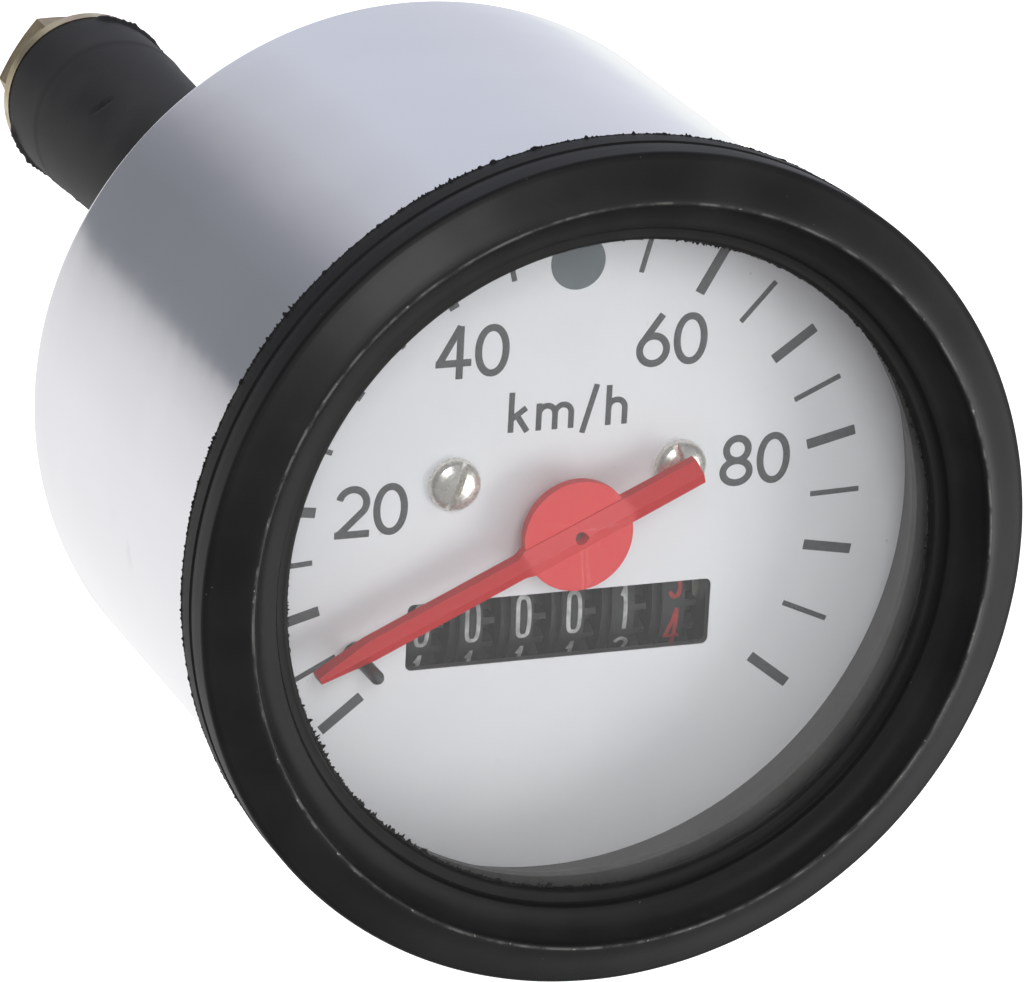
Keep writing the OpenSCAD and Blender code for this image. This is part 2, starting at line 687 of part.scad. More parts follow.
module pinion_shaft() color([0.75, 0.75, 0.78]) place() translate([0, pinion_y, pinion_z])
    bar(pinion_shaft_r, -wall_out - 0.8, wall_out + 0.8);

// Shafts that carry the drive to the odometer

module cross_shaft() color([0.75, 0.75, 0.78]) place() translate([0, cross_y, cross_z]) {
    bar(shaft_r, -wall_out - 0.6, lay_x - worm_h / 2);
    bar(shaft_r + 0.5, wall_out + run_fit, lay_x - worm_h / 2);
    translate([lay_x, 0, 0]) rotate(180, [1, 0, 1]) worm(slow_starts, worm_r, slow_module, worm_h);
}

module cross_wheel() color([0.92, 0.9, 0.82]) place() translate([0, cross_y, cross_z])
    worm_wheel(cross_teeth, 1, cross_wheel_r, cross_module, shaft_r);

module lay_shaft() color([0.75, 0.75, 0.78]) place() translate([lay_x, lay_y, 0]) {
    rod(shaft_r, floor_z + 0.3, bridge_top_z - 0.2);
    translate([0, 0, drum_z]) rotate(180) worm(slow_starts, worm_r, slow_module, worm_h);
}

module lay_wheel() color([0.92, 0.9, 0.82]) place() translate([lay_x, lay_y, cross_z])
    rotate(180, [1, 0, 1])
    worm_wheel(slow_teeth, slow_starts, slow_wheel_r, slow_module, shaft_r);

// Frame and bridges

module movement_frame() color([0.65, 0.66, 0.66]) place() difference() {
    union() {
        translate([-wall_out, frame_bottom, floor_z])
            cube([2 * wall_out, frame_top - frame_bottom, base_t]);
        translate([0, lay_y - 2.4, floor_z]) cube([lay_x, 4.8, base_t]);
        translate([lay_x, lay_y, 0]) rod(2.4, floor_z, base_z);
        for (x = [-wall_out, wall_in]) translate([x, frame_bottom, floor_z])
            cube([wall_t, frame_top - frame_bottom, bridge_z - floor_z]);
    }
    rod(flange_r + run_fit, floor_z - cut, floor_z + flange_t);
    rod(hub_wall_r + run_fit, floor_z - cut, base_z + cut);
    at_axle() {
        bar(axle_r, -wall_out - cut, 0);
        bar(axle_r + 1 + run_fit, 0, wall_out + cut);
    }
    translate([0, pinion_y, pinion_z]) bar(pinion_shaft_r, -wall_out - cut, wall_out + cut);
    translate([0, cross_y, cross_z]) bar(shaft_r + run_fit, -wall_out - cut, wall_out + cut);
    translate([lay_x, lay_y, 0]) rod(shaft_r + run_fit, floor_z - cut, base_z + cut);
    middle_outline(run_fit);
    for (p = bridge_screw_places) translate([p[0], p[1], 0])
        rod(bridge_screw_r, bridge_z - bridge_screw_h, bridge_z + cut);
}

module top_bridge() color([0.8, 0.68, 0.4]) place() difference() {
    union() {
        translate([-wall_out, bridge_low, bridge_z])
            cube([2 * wall_out, frame_top - bridge_low, bridge_t]);
        translate([0, lay_y - 1.6, bridge_z]) cube([lay_x, 3.2, bridge_t]);
        translate([lay_x, lay_y, 0]) rod(1.6, bridge_z, bridge_top_z);
    }
    rod(pointer_spindle_r + run_fit, bridge_z - cut, bridge_top_z + cut);
    for (s = [-1, 1]) translate([s * screw_x, screw_y, 0])
        rod(screw_shank_r, bridge_z - cut, bridge_top_z + cut);
    translate([lay_x, lay_y, 0]) rod(shaft_r + run_fit, bridge_z - cut, bridge_top_z + cut);
    for (p = bridge_screw_places) translate([p[0], p[1], 0]) {
        rod(bridge_screw_r, bridge_z - cut, bridge_top_z + cut);
        rod(bridge_head_r, bridge_top_z - bridge_head_t, bridge_top_z + cut);
    }
}

module middle_outline(grow) {
    translate([-wall_out - grow, lay_y - 2.2 - grow, middle_z - grow])
        cube([2 * wall_out + 2 * grow, frame_top - lay_y + 0.4 + 2 * grow, middle_t + 2 * grow]);
}

module middle_bridge() color([0.8, 0.68, 0.4]) place() difference() {
    middle_outline(0);
    rod(pointer_spindle_r + 0.4, middle_z - cut, middle_top_z + cut);
}

module bridge_screws() color([0.7, 0.7, 0.7]) place()
    for (p = bridge_screw_places) translate([p[0], p[1], 0]) difference() {
        union() {
            rod(bridge_screw_r, bridge_z - bridge_screw_h, bridge_top_z - run_fit);
            rod(bridge_head_r, bridge_top_z - bridge_head_t, bridge_top_z - run_fit);
        }
        translate([-2 * bridge_head_r, -bridge_slot_w / 2, bridge_top_z - bridge_head_t / 2])
            cube([4 * bridge_head_r, bridge_slot_w, bridge_head_t]);
    }

// Neck for the flexible shaft

module cable_neck() color([0.72, 0.72, 0.7]) place() difference() {
    union() {
        rod(flange_r, floor_z, floor_z + flange_t);
        rod(hub_wall_r, floor_z, base_z);
        rod(neck_r, neck_face_z, floor_z);
        rod(cable_thread_r, neck_end_z + thread_chamfer, neck_face_z);
        translate([0, 0, neck_end_z])
            cylinder(r1 = cable_thread_r - thread_chamfer, r2 = cable_thread_r, h = thread_chamfer);
    }
    rod(bush_r, neck_end_z - cut, base_z + cut);
}

module neck_seal() color([0.1, 0.1, 0.1]) place()
    tube(neck_r + ring_nut_w - 0.4, neck_r, -case_depth - seal_t, -case_depth);

module ring_nut() color([0.75, 0.75, 0.75]) place() difference() {
    rod(neck_r + ring_nut_w, neck_face_z, -case_depth - seal_t);
    rod(neck_r, neck_face_z - cut, -case_depth + cut);
    for (a = [0 : 90 : 270]) rotate(a)
        translate([neck_r + 0.65 * ring_nut_w, -spanner_slot / 2, neck_face_z - cut])
        cube([ring_nut_w, spanner_slot, ring_nut_h + 2 * cut]);
}

// Stud with its expanding rubber sleeve

module at_stud() translate([stud_x, stud_y, 0]) children();

module expander_stud() color([0.8, 0.75, 0.5]) place() at_stud() {
    rod(stud_head_r, floor_z, floor_z + stud_head_t);
    rod(stud_r, stud_end_z + thread_chamfer, floor_z);
    translate([0, 0, stud_end_z])
        cylinder(r1 = stud_r - thread_chamfer, r2 = stud_r, h = thread_chamfer);
}

module rubber_sleeve() color([0.11, 0.11, 0.11]) place() at_stud() rotate_extrude() {
    n = 12;
    land_z = sleeve_end_z + sleeve_land;
    waist_z = land_z + 2 * sleeve_step;
    polygon(concat([[stud_r, -case_depth], [stud_r, sleeve_end_z], [sleeve_r, sleeve_end_z],
        [sleeve_r, land_z]],
        [for (i = [0 : n]) let (t = i / n)
            [sleeve_r - sleeve_step - (sleeve_waist - sleeve_step) * sin(90 * t),
                waist_z * (1 - t) - case_depth * t]]));
}

module stud_washer() color([0.8, 0.75, 0.5]) place() at_stud()
    tube(sleeve_r - 0.05, stud_r, washer_z, sleeve_end_z);

module stud_nut() color([0.8, 0.75, 0.5]) place() at_stud() difference() {
    intersection() {
        translate([0, 0, nut_z]) rotate(nut_turn)
            cylinder(r = nut_af / 2 / cos(30), h = nut_h, $fn = 6);
        union() {
            rod(nut_af, nut_z + 0.6, washer_z);
            translate([0, 0, nut_z]) cylinder(r1 = nut_af / 2, r2 = nut_af / 2 + 0.9, h = 0.6);
        }
    }
    rod(stud_r, nut_z - cut, washer_z + cut);
}

cup();
cup_floor();
rubber_bezel();
lens();
spacer_ring();
dial_plate();
dial_screws();
telltale_filter();
telltale_tube();
stop_pin();
pointer();
pointer_spindle();
drag_cup();
hairspring_collet();
hairspring();
hairspring_stud();
drive_spindle();
magnet_hub();
magnet();
flux_cup();
thrust_washer();
neck_bush();
drum_ten_thousands();
drum_thousands();
drum_hundreds();
drum_tens();
drum_units();
drum_tenths();
odometer_drive_gear();
odometer_axle();
axle_clips();
carry_pinion_1();
carry_pinion_2();
carry_pinion_3();
carry_pinion_4();
carry_pinion_5();
pinion_shaft();
cross_shaft();
cross_wheel();
lay_shaft();
lay_wheel();
movement_frame();
top_bridge();
middle_bridge();
bridge_screws();
cable_neck();
neck_seal();
ring_nut();
expander_stud();
rubber_sleeve();
stud_washer();
stud_nut();
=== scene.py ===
"""A round moped speedometer: chromed cup, rubber bezel, white dial, red pointer and drum odometer.

The pieces are modelled lying on their back, with the dial's face at height 0, 12 o'clock at +Y and
the gauge's axis along Z, and are then stood up in the place that the frame gives them.
"""

import math

import bpy
from mathutils import Matrix, Vector, noise


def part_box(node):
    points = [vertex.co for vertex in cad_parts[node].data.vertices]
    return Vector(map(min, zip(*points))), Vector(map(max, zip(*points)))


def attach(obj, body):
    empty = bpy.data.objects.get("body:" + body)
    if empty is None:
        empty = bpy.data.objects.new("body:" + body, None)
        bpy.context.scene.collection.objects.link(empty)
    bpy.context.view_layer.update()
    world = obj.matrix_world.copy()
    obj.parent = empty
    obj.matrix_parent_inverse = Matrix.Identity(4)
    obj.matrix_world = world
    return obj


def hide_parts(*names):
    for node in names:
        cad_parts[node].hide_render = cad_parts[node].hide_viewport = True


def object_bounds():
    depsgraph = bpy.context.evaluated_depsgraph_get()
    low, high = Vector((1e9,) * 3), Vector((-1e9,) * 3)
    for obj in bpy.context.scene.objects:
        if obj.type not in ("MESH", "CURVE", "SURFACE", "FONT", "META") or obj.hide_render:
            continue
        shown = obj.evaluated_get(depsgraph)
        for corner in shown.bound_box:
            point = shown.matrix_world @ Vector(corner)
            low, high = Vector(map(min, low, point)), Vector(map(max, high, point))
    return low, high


MM = 0.001
SMOOTH_ANGLE = math.radians(32)
ROUND_STEPS = 192

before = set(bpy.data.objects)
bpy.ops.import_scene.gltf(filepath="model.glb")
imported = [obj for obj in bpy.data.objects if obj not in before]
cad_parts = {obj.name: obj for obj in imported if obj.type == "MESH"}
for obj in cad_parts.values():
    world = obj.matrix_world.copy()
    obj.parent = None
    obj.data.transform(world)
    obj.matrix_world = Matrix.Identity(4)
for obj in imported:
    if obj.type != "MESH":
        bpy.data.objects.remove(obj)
cad_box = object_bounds()

# Places that the frame gives
DIAL_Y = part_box("dial_plate")[0].y
STAND = Matrix(((1, 0, 0, 0), (0, 0, -1, DIAL_Y), (0, 1, 0, 0), (0, 0, 0, 1)))


def heights(node):
    """Lowest and highest point of a node, measured up from the dial's face."""
    low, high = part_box(node)
    return DIAL_Y - high.y, DIAL_Y - low.y


def middle(node):
    """Centre of a node on the dial, as x and y."""
    low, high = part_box(node)
    return (low.x + high.x) / 2, (low.z + high.z) / 2


def radius_of(node):
    """Radius of a round node, half its width."""
    low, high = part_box(node)
    return (high.x - low.x) / 2


def limited(value):
    """A value kept from 0 to 1."""
    return min(1, max(0, value))


def turn_from(x, y, angle):
    """Angle of a point round the axis, counted from another angle, both in radians."""
    return math.remainder(math.atan2(y, x) - angle, math.tau)


# Shader sums


class Socket:
    """An output in a finish's node tree, so that its sums are written as Python."""

    def __init__(self, finish, output):
        self.finish = finish
        self.output = output

    def math(self, operation, *others):
        """A sum of this value and others."""
        values = dict(enumerate((self, *others)))
        return self.finish.node("ShaderNodeMath", {"operation": operation}, values)

    def __add__(self, other):
        return self.math("ADD", other)

    __radd__ = __add__

    def __sub__(self, other):
        return self.math("SUBTRACT", other)

    def __rsub__(self, other):
        return self.finish.node("ShaderNodeMath", {"operation": "SUBTRACT"}, {0: other, 1: self})

    def __mul__(self, other):
        return self.math("MULTIPLY", other)

    __rmul__ = __mul__

    def clamp(self):
        """The value kept from 0 to 1."""
        return self.finish.node("ShaderNodeClamp", {}, {"Value": self})

    def between(self, low, high):
        """0 below low, 1 above high and a smooth step between them."""
        return self.finish.node(
            "ShaderNodeMapRange",
            {"interpolation_type": "SMOOTHSTEP"},
            {"Value": self, "From Min": low, "From Max": high},
        )


class Finish:
    """A material under construction, with a Principled shader and Object coordinates."""

    def __init__(self, name, **values):
        self.material = bpy.data.materials.new(name)
        self.material.use_nodes = True
        self.tree = self.material.node_tree
        self.shader = self.tree.nodes["Principled BSDF"]
        self.place = self.node("ShaderNodeTexCoord", out="Object")
        self.set(**values)

    def node(self, kind, settings=None, sockets=None, out=0):
        """Adds a node, sets it up, fills or links its sockets and returns one output."""
        made = self.tree.nodes.new(kind)
        for name, value in (settings or {}).items():
            setattr(made, name, value)
        for name, value in (sockets or {}).items():
            self.feed(made.inputs[name], value)
        return Socket(self, made.outputs[out])

    def feed(self, socket, value):
        """Links a socket to another's output, or fills it with a constant."""
        if isinstance(value, Socket):
            self.tree.links.new(value.output, socket)
        else:
            socket.default_value = value

    def set(self, **values):
        """Feeds the shader's sockets, their names written with _ for a space."""
        for name, value in values.items():
            words = name.replace("_", " ")
            if isinstance(value, tuple) and len(value) == 3:
                value = (*value, 1)
            self.feed(self.shader.inputs[words], value)

    def noise(self, scale, detail=3, roughness=0.5, stretch=(1, 1, 1), distortion=0):
        """Noise with a feature about 1 / scale metres wide."""
        place = self.node(
            "ShaderNodeMapping", {}, {"Vector": self.place, "Scale": stretch}, out="Vector"
        )
        return self.node(
            "ShaderNodeTexNoise",
            {},
            {
                "Vector": place,
                "Scale": scale,
                "Detail": detail,
                "Roughness": roughness,
                "Distortion": distortion,
            },
            out="Fac",
        )

    def mix(self, share, first, second):
        """Colour from first to second by a share."""
        colours = [(*c, 1) if isinstance(c, tuple) and len(c) == 3 else c for c in (first, second)]
        made = self.tree.nodes.new("ShaderNodeMix")
        made.data_type = "RGBA"
        self.feed(made.inputs["Factor"], share)
        self.feed(made.inputs[6], colours[0])
        self.feed(made.inputs[7], colours[1])
        return Socket(self, made.outputs[2])

    def axis(self, index):
        """One coordinate of the piece's place, in metres."""
        return self.node("ShaderNodeSeparateXYZ", {}, {0: self.place}, out=index)

    def away(self):
        """Distance from the gauge's axis, in metres."""
        x, z = self.axis(0), self.axis(2)
        return (x * x + z * z).math("SQRT")

    def bump(self, height, depth):
        """Relief of a height from 0 to 1 and a depth in metres, led to the shader's normal."""
        relief = {"Height": height, "Distance": depth, "Strength": 1.0}
        self.set(Normal=self.node("ShaderNodeBump", {}, relief, out="Normal"))

    def show(self, shader):
        """Leads another shader than the Principled one to the material's surface."""
        self.tree.links.new(shader.output, self.tree.nodes["Material Output"].inputs["Surface"])

    def on(self, *pieces):
        """Puts the finish on pieces, or on CAD nodes given by name."""
        for piece in pieces:
            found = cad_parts[piece] if isinstance(piece, str) else piece
            found.data.materials.clear()
            found.data.materials.append(self.material)


# Finishes


def chrome_finish():
    """Polished plate with faint smears, stains and pits."""
    f = Finish("chrome_plate", Metallic=1.0)
    haze = f.noise(60, 2)
    smear = f.noise(240, 3, stretch=(1, 0.25, 1))
    stain = f.noise(95, 4, 0.6).between(0.66, 0.78)
    pit = f.noise(1300, 1).between(0.83, 0.86)
    plate = f.mix(haze.between(0.35, 0.7), (0.79, 0.79, 0.82), (0.82, 0.82, 0.85))
    f.set(Base_Color=f.mix((stain * 0.25 + pit * 0.5).clamp(), plate, (0.45, 0.45, 0.47)))
    f.set(Roughness=0.08 + haze * 0.05 + smear * 0.05 + stain * 0.06)
    f.bump(f.noise(110, 3), 0.00004)
    return f


# Painted shade inside the bezel, a painted highlight on its crown, dust on black rubber, and how
# far from the axis the bezel's polished face runs out
SHADED_INNER_BLACK = (0.006, 0.0055, 0.005)
CROWN_HIGHLIGHT_GREY = (0.085, 0.085, 0.08)
DUST = (0.22, 0.22, 0.2)
FACE_END = (31.35 * MM, 31.6 * MM)


def rubber_finish(name, shade, shine, level, crown_ring=0):
    """Moulded black rubber: fine grain, paler smudges, dust, and on a ring a painted highlight line
    on its crown and painted shade inside it.
    """
    f = Finish(name, Specular_IOR_Level=level)
    cloud = f.noise(150, 4)
    grain = f.noise(2600, 3, 0.6)
    dust = f.noise(3300, 2).between(0.79, 0.82)
    deep, pale = (shade, shade, shade * 1.04), (shade * 1.7, shade * 1.7, shade * 1.75)
    black = f.mix(cloud.between(0.35, 0.75), deep, pale)
    if crown_ring:
        away = f.away()
        # Painted highlight: a paler line along the crown's edge, broken up in patches, with lint on
        # it
        line = away.between(crown_ring - 0.2 * MM, crown_ring)
        line = line * (1 - away.between(crown_ring, crown_ring + 0.12 * MM))
        patchy = f.noise(700, 3).between(0.4, 0.62)
        lint = f.noise(2400, 2).between(0.66, 0.7)
        # Painted shade: inside the crown, over the step and lip, the rubber is darkened further
        inside = 1 - away.between(crown_ring - 2.4 * MM, crown_ring - 1.9 * MM)
        black = f.mix(inside * 0.85, black, SHADED_INNER_BLACK)
        black = f.mix(line * patchy, black, CROWN_HIGHLIGHT_GREY)
        dust = (dust + line * lint).clamp()
        face = away.between(crown_ring - 0.3 * MM, crown_ring)
        face = face * (1 - away.between(*FACE_END))
        f.set(Coat_Weight=face * 0.22, Coat_Roughness=0.32, Coat_IOR=1.5)
    f.set(Base_Color=f.mix(dust, black, DUST))
    f.set(Roughness=shine + cloud * 0.16 + dust * 0.2)
    f.bump(grain * 0.6 + cloud * 0.4, 0.00002)
    return f


LENS_DUST = 0.022  # share of the light that dust on the lens scatters


def lens_finish():
    """Clear plastic with a little dust, and gloss that grows at a slant."""
    f = Finish("clear_lens")
    clear = f.node("ShaderNodeBsdfTransparent", {}, {"Color": (0.97, 0.98, 0.98, 1)})
    gloss = f.node("ShaderNodeBsdfGlossy", {}, {"Color": (1, 1, 1, 1), "Roughness": 0.03})
    haze = f.node("ShaderNodeBsdfDiffuse", {}, {"Color": (1, 1, 1, 1)})
    dusty = f.node("ShaderNodeMixShader", {}, {0: LENS_DUST, 1: clear, 2: haze})
    edge = f.node("ShaderNodeFresnel", {}, {"IOR": 1.22})
    f.show(f.node("ShaderNodeMixShader", {}, {0: edge, 1: dusty, 2: gloss}))
    return f


def dial_finish():
    """Silvery white lacquer, specked on top and dark on the plate's cut edges and back."""
    f = Finish("dial_lacquer")
    cloud = f.noise(90, 3)
    grain = f.noise(4200, 2)
    speck = f.noise(1500, 1).between(0.79, 0.82)
    ground = f.mix(cloud.between(0.3, 0.7), (0.745, 0.735, 0.76), (0.775, 0.765, 0.785))
    below = f.axis(1).between(DIAL_Y + 0.02 * MM, DIAL_Y + 0.12 * MM)
    ground = f.mix(below, f.mix(speck * 0.35, ground, (0.35, 0.35, 0.36)), (0.10, 0.10, 0.10))
    f.set(Base_Color=ground)
    f.set(Roughness=0.38 + grain * 0.12)
    f.bump(grain, 0.000008)
    return f


def ink_finish():
    """Dark grey printing ink, uneven in strength."""
    f = Finish("grey_ink")
    body = f.noise(3000, 3)
    f.set(Base_Color=f.mix(body.between(0.3, 0.75), (0.062, 0.064, 0.067), (0.088, 0.090, 0.094)))
    f.set(Roughness=0.5 + body * 0.15)
    f.bump(body, 0.000006)
    return f


def plain_finish(name, low, high, rough, grain=1800, depth=0.00002, metal=0.0):
    """A finish with a fine cloud of two shades, for moulded, turned or stamped pieces."""
    f = Finish(name, Metallic=metal)
    cloud = f.noise(grain / 8, 3)
    fine = f.noise(grain, 3)
    f.set(Base_Color=f.mix((cloud * 0.6 + fine * 0.4).between(0.35, 0.65), low, high))
    f.set(Roughness=rough + fine * 0.14 - 0.05)
    f.bump(fine, depth)
    return f


RING_PITCH = 21000  # radians a metre


def turned_finish(name, low, high, rough, metal=1.0):
    """Turned metal, with fine rings round the gauge's axis."""
    f = Finish(name, Metallic=metal)
    rings = ((f.away() + f.axis(1)) * RING_PITCH).math("SINE") * 0.5 + 0.5
    cloud = f.noise(300, 3)
    f.set(Base_Color=f.mix(cloud.between(0.3, 0.7), low, high))
    f.set(Roughness=rough + cloud * 0.1 + rings * 0.05)
    f.bump(rings * 0.6 + f.noise(2500, 2) * 0.4, 0.000008)
    return f


def pointer_finish():
    """Red lacquer, its hub rubbed paler and scratched."""
    f = Finish("red_lacquer", Specular_IOR_Level=0.25)
    scratch = f.noise(900, 4, 0.65, stretch=(1, 1, 0.12), distortion=1.2).between(0.6, 0.72)
    cross = f.noise(1000, 4, 0.65, stretch=(0.12, 1, 1), distortion=1.4).between(0.62, 0.74)
    cloud = f.noise(260, 3)
    hub = 1 - f.away().between(4.0 * MM, 4.8 * MM)
    fresh = f.mix(cloud, (0.53, 0.002, 0.004), (0.60, 0.007, 0.010))
    rubbed = f.mix((scratch + cross).clamp(), (0.72, 0.056, 0.060), (0.78, 0.16, 0.16))
    f.set(Base_Color=f.mix(hub, fresh, rubbed))
    f.set(Roughness=0.42 + scratch * 0.12 + cloud * 0.1)
    f.bump(cloud * 0.5 - scratch * 0.5, 0.00002)
    return f


def yellow_zinc_finish():
    """Yellow passivated zinc: straw with pink and green films."""
    f = Finish("yellow_zinc", Metallic=1.0)
    film = f.noise(330, 3, distortion=0.8)
    second = f.noise(520, 2)
    straw = f.mix(film.between(0.35, 0.6), (0.40, 0.33, 0.19), (0.56, 0.48, 0.31))
    tinted = f.mix(second.between(0.5, 0.72), straw, (0.55, 0.38, 0.34))
    f.set(Base_Color=f.mix(film.between(0.58, 0.75), tinted, (0.44, 0.47, 0.30)))
    f.set(Roughness=0.22 + second * 0.15)
    f.bump(f.noise(1500, 3), 0.00002)
    return f


# Modelling


def deselect():
    """Selects nothing."""
    bpy.ops.object.select_all(action="DESELECT")


def pick(piece):
    """Selects one piece alone and makes it active."""
    deselect()
    bpy.context.view_layer.objects.active = piece
    piece.select_set(True)


def edit(piece):
    """Opens a piece for editing, all of it selected."""
    pick(piece)
    bpy.ops.object.mode_set(mode="EDIT")
    bpy.ops.mesh.select_all(action="SELECT")


def done():
    """Closes the piece that is open for editing."""
    bpy.ops.object.mode_set(mode="OBJECT")


def named(name):
    """The active object, renamed and with its place moved into its mesh."""
    piece = bpy.context.object
    piece.name = name
    piece.data.name = name
    pick(piece)
    bpy.ops.object.transform_apply(location=True, rotation=True, scale=True)
    return piece


def smooth(piece):
    """Smooth shading with its corners kept sharp."""
    pick(piece)
    bpy.ops.object.shade_smooth_by_angle(angle=SMOOTH_ANGLE)


def joined(name, pieces):
    """One piece from several."""
    deselect()
    for piece in pieces:
        piece.select_set(True)
    bpy.context.view_layer.objects.active = pieces[0]
    if len(pieces) > 1:
        bpy.ops.object.join()
    return named(name)


def clean(piece):
    """Closes seams and turns every face outwards."""
    edit(piece)
    bpy.ops.mesh.remove_doubles(threshold=0.001 * MM)
    bpy.ops.mesh.normals_make_consistent(inside=False)
    done()


def centred(piece, node):
    """Moves a piece made at the middle of the dial to where a node is."""
    piece.data.transform(Matrix.Translation(Vector((*middle(node), 0))))


def arc(cx, cy, r, start, end, steps):
    """Points on a circle, from a start to an end angle in degrees."""
    angles = [math.radians(start + (end - start) * i / steps) for i in range(steps + 1)]
    return [(cx + r * math.cos(a), cy + r * math.sin(a)) for a in angles]


def turned(name, profile, steps=ROUND_STEPS):
    """A ring of points pulled along a profile of radius and height, closed or with end caps."""
    deselect()
    radius, height = profile[0]
    bpy.ops.mesh.primitive_circle_add(vertices=steps, radius=radius, location=(0, 0, height))
    bpy.ops.object.mode_set(mode="EDIT")
    closed = math.dist(profile[0], profile[-1]) < 0.001 * MM
    if not closed:
        bpy.ops.mesh.edge_face_add()
        bpy.ops.mesh.select_all(action="SELECT")
    for (r0, z0), (r1, z1) in zip(profile, profile[1:]):
        bpy.ops.mesh.extrude_region_move(TRANSFORM_OT_translate={"value": (0, 0, z1 - z0)})
        bpy.ops.transform.resize(value=(r1 / r0, r1 / r0, 1), center_override=(0, 0, 0))
    done()
    piece = named(name)
    clean(piece)
    return piece


def stand(piece, body="case", replaced=()):
    """Stands a piece up in the frame, on the body that carries it."""
    piece.data.transform(STAND)
    piece.data.update()
    smooth(piece)
    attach(piece, body)
    if replaced:
        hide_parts(*replaced)
    return piece


# Case


SHEET = 1.0 * MM  # the cup's steel


def cup_shell():
    """The drawn cup's wall, from its rolled rear corner to the rim under the bezel."""
    radius = radius_of("cup")
    back, rim = heights("cup")
    corner, rows = 1.2 * MM, 12
    outside = arc(radius - corner, back + corner, corner, -90, 0, 12)
    inside = arc(radius - corner, back + corner, corner - SHEET, 0, -90, 4)
    rise = [(radius, back + corner + (rim - back - corner) * i / rows) for i in range(1, rows + 1)]
    profile = [*outside, *rise, (radius - SHEET, rim), *inside, outside[0]]
    piece = turned("cup_shell", profile, 320)
    return stand(piece, "case", ["cup"])


CROWN_R = 28.6 * MM  # the bezel's highest ring
LIP_R = 25.0 * MM


def bezel_profile():
    """Outline of the rubber ring: from the cup's wall outwards, over the crown and to the lip."""
    radius = radius_of("rubber_bezel")
    low, top = heights("rubber_bezel")
    inner = radius_of("cup") + 0.02 * MM
    rim = heights("cup")[1]

    def at(inwards, up):
        """A point in millimetres in from the ring's outside and up from the cup's rim."""
        return radius - inwards * MM, rim + up * MM

    skirt = [(inner, low + 0.15 * MM), (inner + 0.3 * MM, low)]
    skirt += arc(radius - 0.4 * MM, low + 0.25 * MM, 0.25 * MM, -90, 0, 4)
    ridge = [at(0.14, -1.4), at(0.14, -0.62), at(0.0, -0.46), at(0.0, -0.3), at(0.13, -0.16)]
    band = [at(0.04, 0.3), at(0.0, 1.1), at(0.0, 2.2)]
    band += arc(radius - 0.4 * MM, rim + 2.3 * MM, 0.4 * MM, 4, 62, 6)
    face = [at(0.62, 2.82), at(1.1, 3.06), at(1.6, 3.32), at(2.0, 3.54), at(2.5, 3.8)]
    face += [at(2.95, 3.99), at(3.18, 4.06)]
    crown = arc(CROWN_R - 0.05 * MM, top - 0.255 * MM, 0.22 * MM, 80, 185, 6)
    funnel = [at(3.75, 3.3), at(4.1, 2.75), at(4.6, 2.38), at(5.2, 2.2), at(5.55, 2.14)]
    step = [at(5.72, 2.06), at(5.8, 1.9), at(5.84, 1.66), at(5.98, 1.52), at(6.25, 1.46)]
    lip = arc(LIP_R + 0.35 * MM, rim + 1.08 * MM, 0.35 * MM, 82, 185, 6)
    under = rim + 0.02 * MM
    foot = [(LIP_R + 0.1 * MM, rim + 0.4 * MM), (LIP_R + 0.3 * MM, under), (inner, under)]
    return [*skirt, *ridge, *band, *face, *crown, *funnel, *step, *lip, *foot, skirt[0]]


def torn(way, seed, lumps, fuzz):
    """Reach of torn mould flash in a direction: patches of lumps over a fine fuzz."""
    shift = Vector((seed, seed * 0.7, 0))

    def wave(count):
        return noise.noise(way * count + shift)

    lump = max(0, wave(80) - 0.16) * 1.3 + max(0, wave(190) - 0.14) * 1.1
    grit = abs(wave(260)) + 0.6 * abs(wave(610))
    patch = 0.7 + 0.8 * wave(5)
    return max(0, patch) * (lumps * lump + fuzz * grit)


# Height of the lumps and of the fuzz in millimetres, and the share of it that reaches back
REAR_TEAR = (0.3, 0.09, 0.9)
LIP_TEAR = (0.36, 0.26, 0)
FLASH_STEPS = 2400


def flash_strip(name, radius, height, width, outwards, share):
    """A thin torn strip of mould flash round an edge; share gives its reach by direction."""
    sign = 1 if outwards else -1
    most = radius_of("rubber_bezel") - 0.01 * MM
    lumps, fuzz, back = REAR_TEAR if outwards else LIP_TEAR
    edge = radius + sign * 0.05 * MM
    root = radius - sign * 0.15 * MM
    profile = [(root, height - width), (edge, height - width * 0.5)]
    profile += [(edge, height + width * 0.3), (root, height + width)]
    piece = turned(name, profile + profile[:1], FLASH_STEPS)
    for vertex in piece.data.vertices:
        x, y, _ = vertex.co
        r = math.hypot(x, y)
        if abs(r - edge) > 0.02 * MM:
            continue
        way = Vector((x / r, y / r, 0))
        reach = torn(way, radius * 1000, lumps * MM, fuzz * MM) * share(way)
        room = most / max(abs(way.x), abs(way.y)) - r if outwards else MM
        vertex.co += sign * way * min(reach, 0.45 * MM, room)
        vertex.co.z += noise.noise(way * 90) * 0.05 * MM - back * min(reach, 0.5 * MM)
    return stand(piece, "case")


def rubber_bezel():
    """The moulded ring, its front a little uneven in height."""
    piece = turned("bezel_ring", bezel_profile(), 480)
    uneven_from = heights("cup")[1] + 1.0 * MM
    for vertex in piece.data.vertices:
        x, y, z = vertex.co
        way = Vector((x, y, 0)).normalized()
        if z > uneven_from:
            vertex.co.z += noise.noise(way * 9 + Vector((0, 0, z * 200))) * 0.03 * MM
    return stand(piece, "case", ["rubber_bezel"])


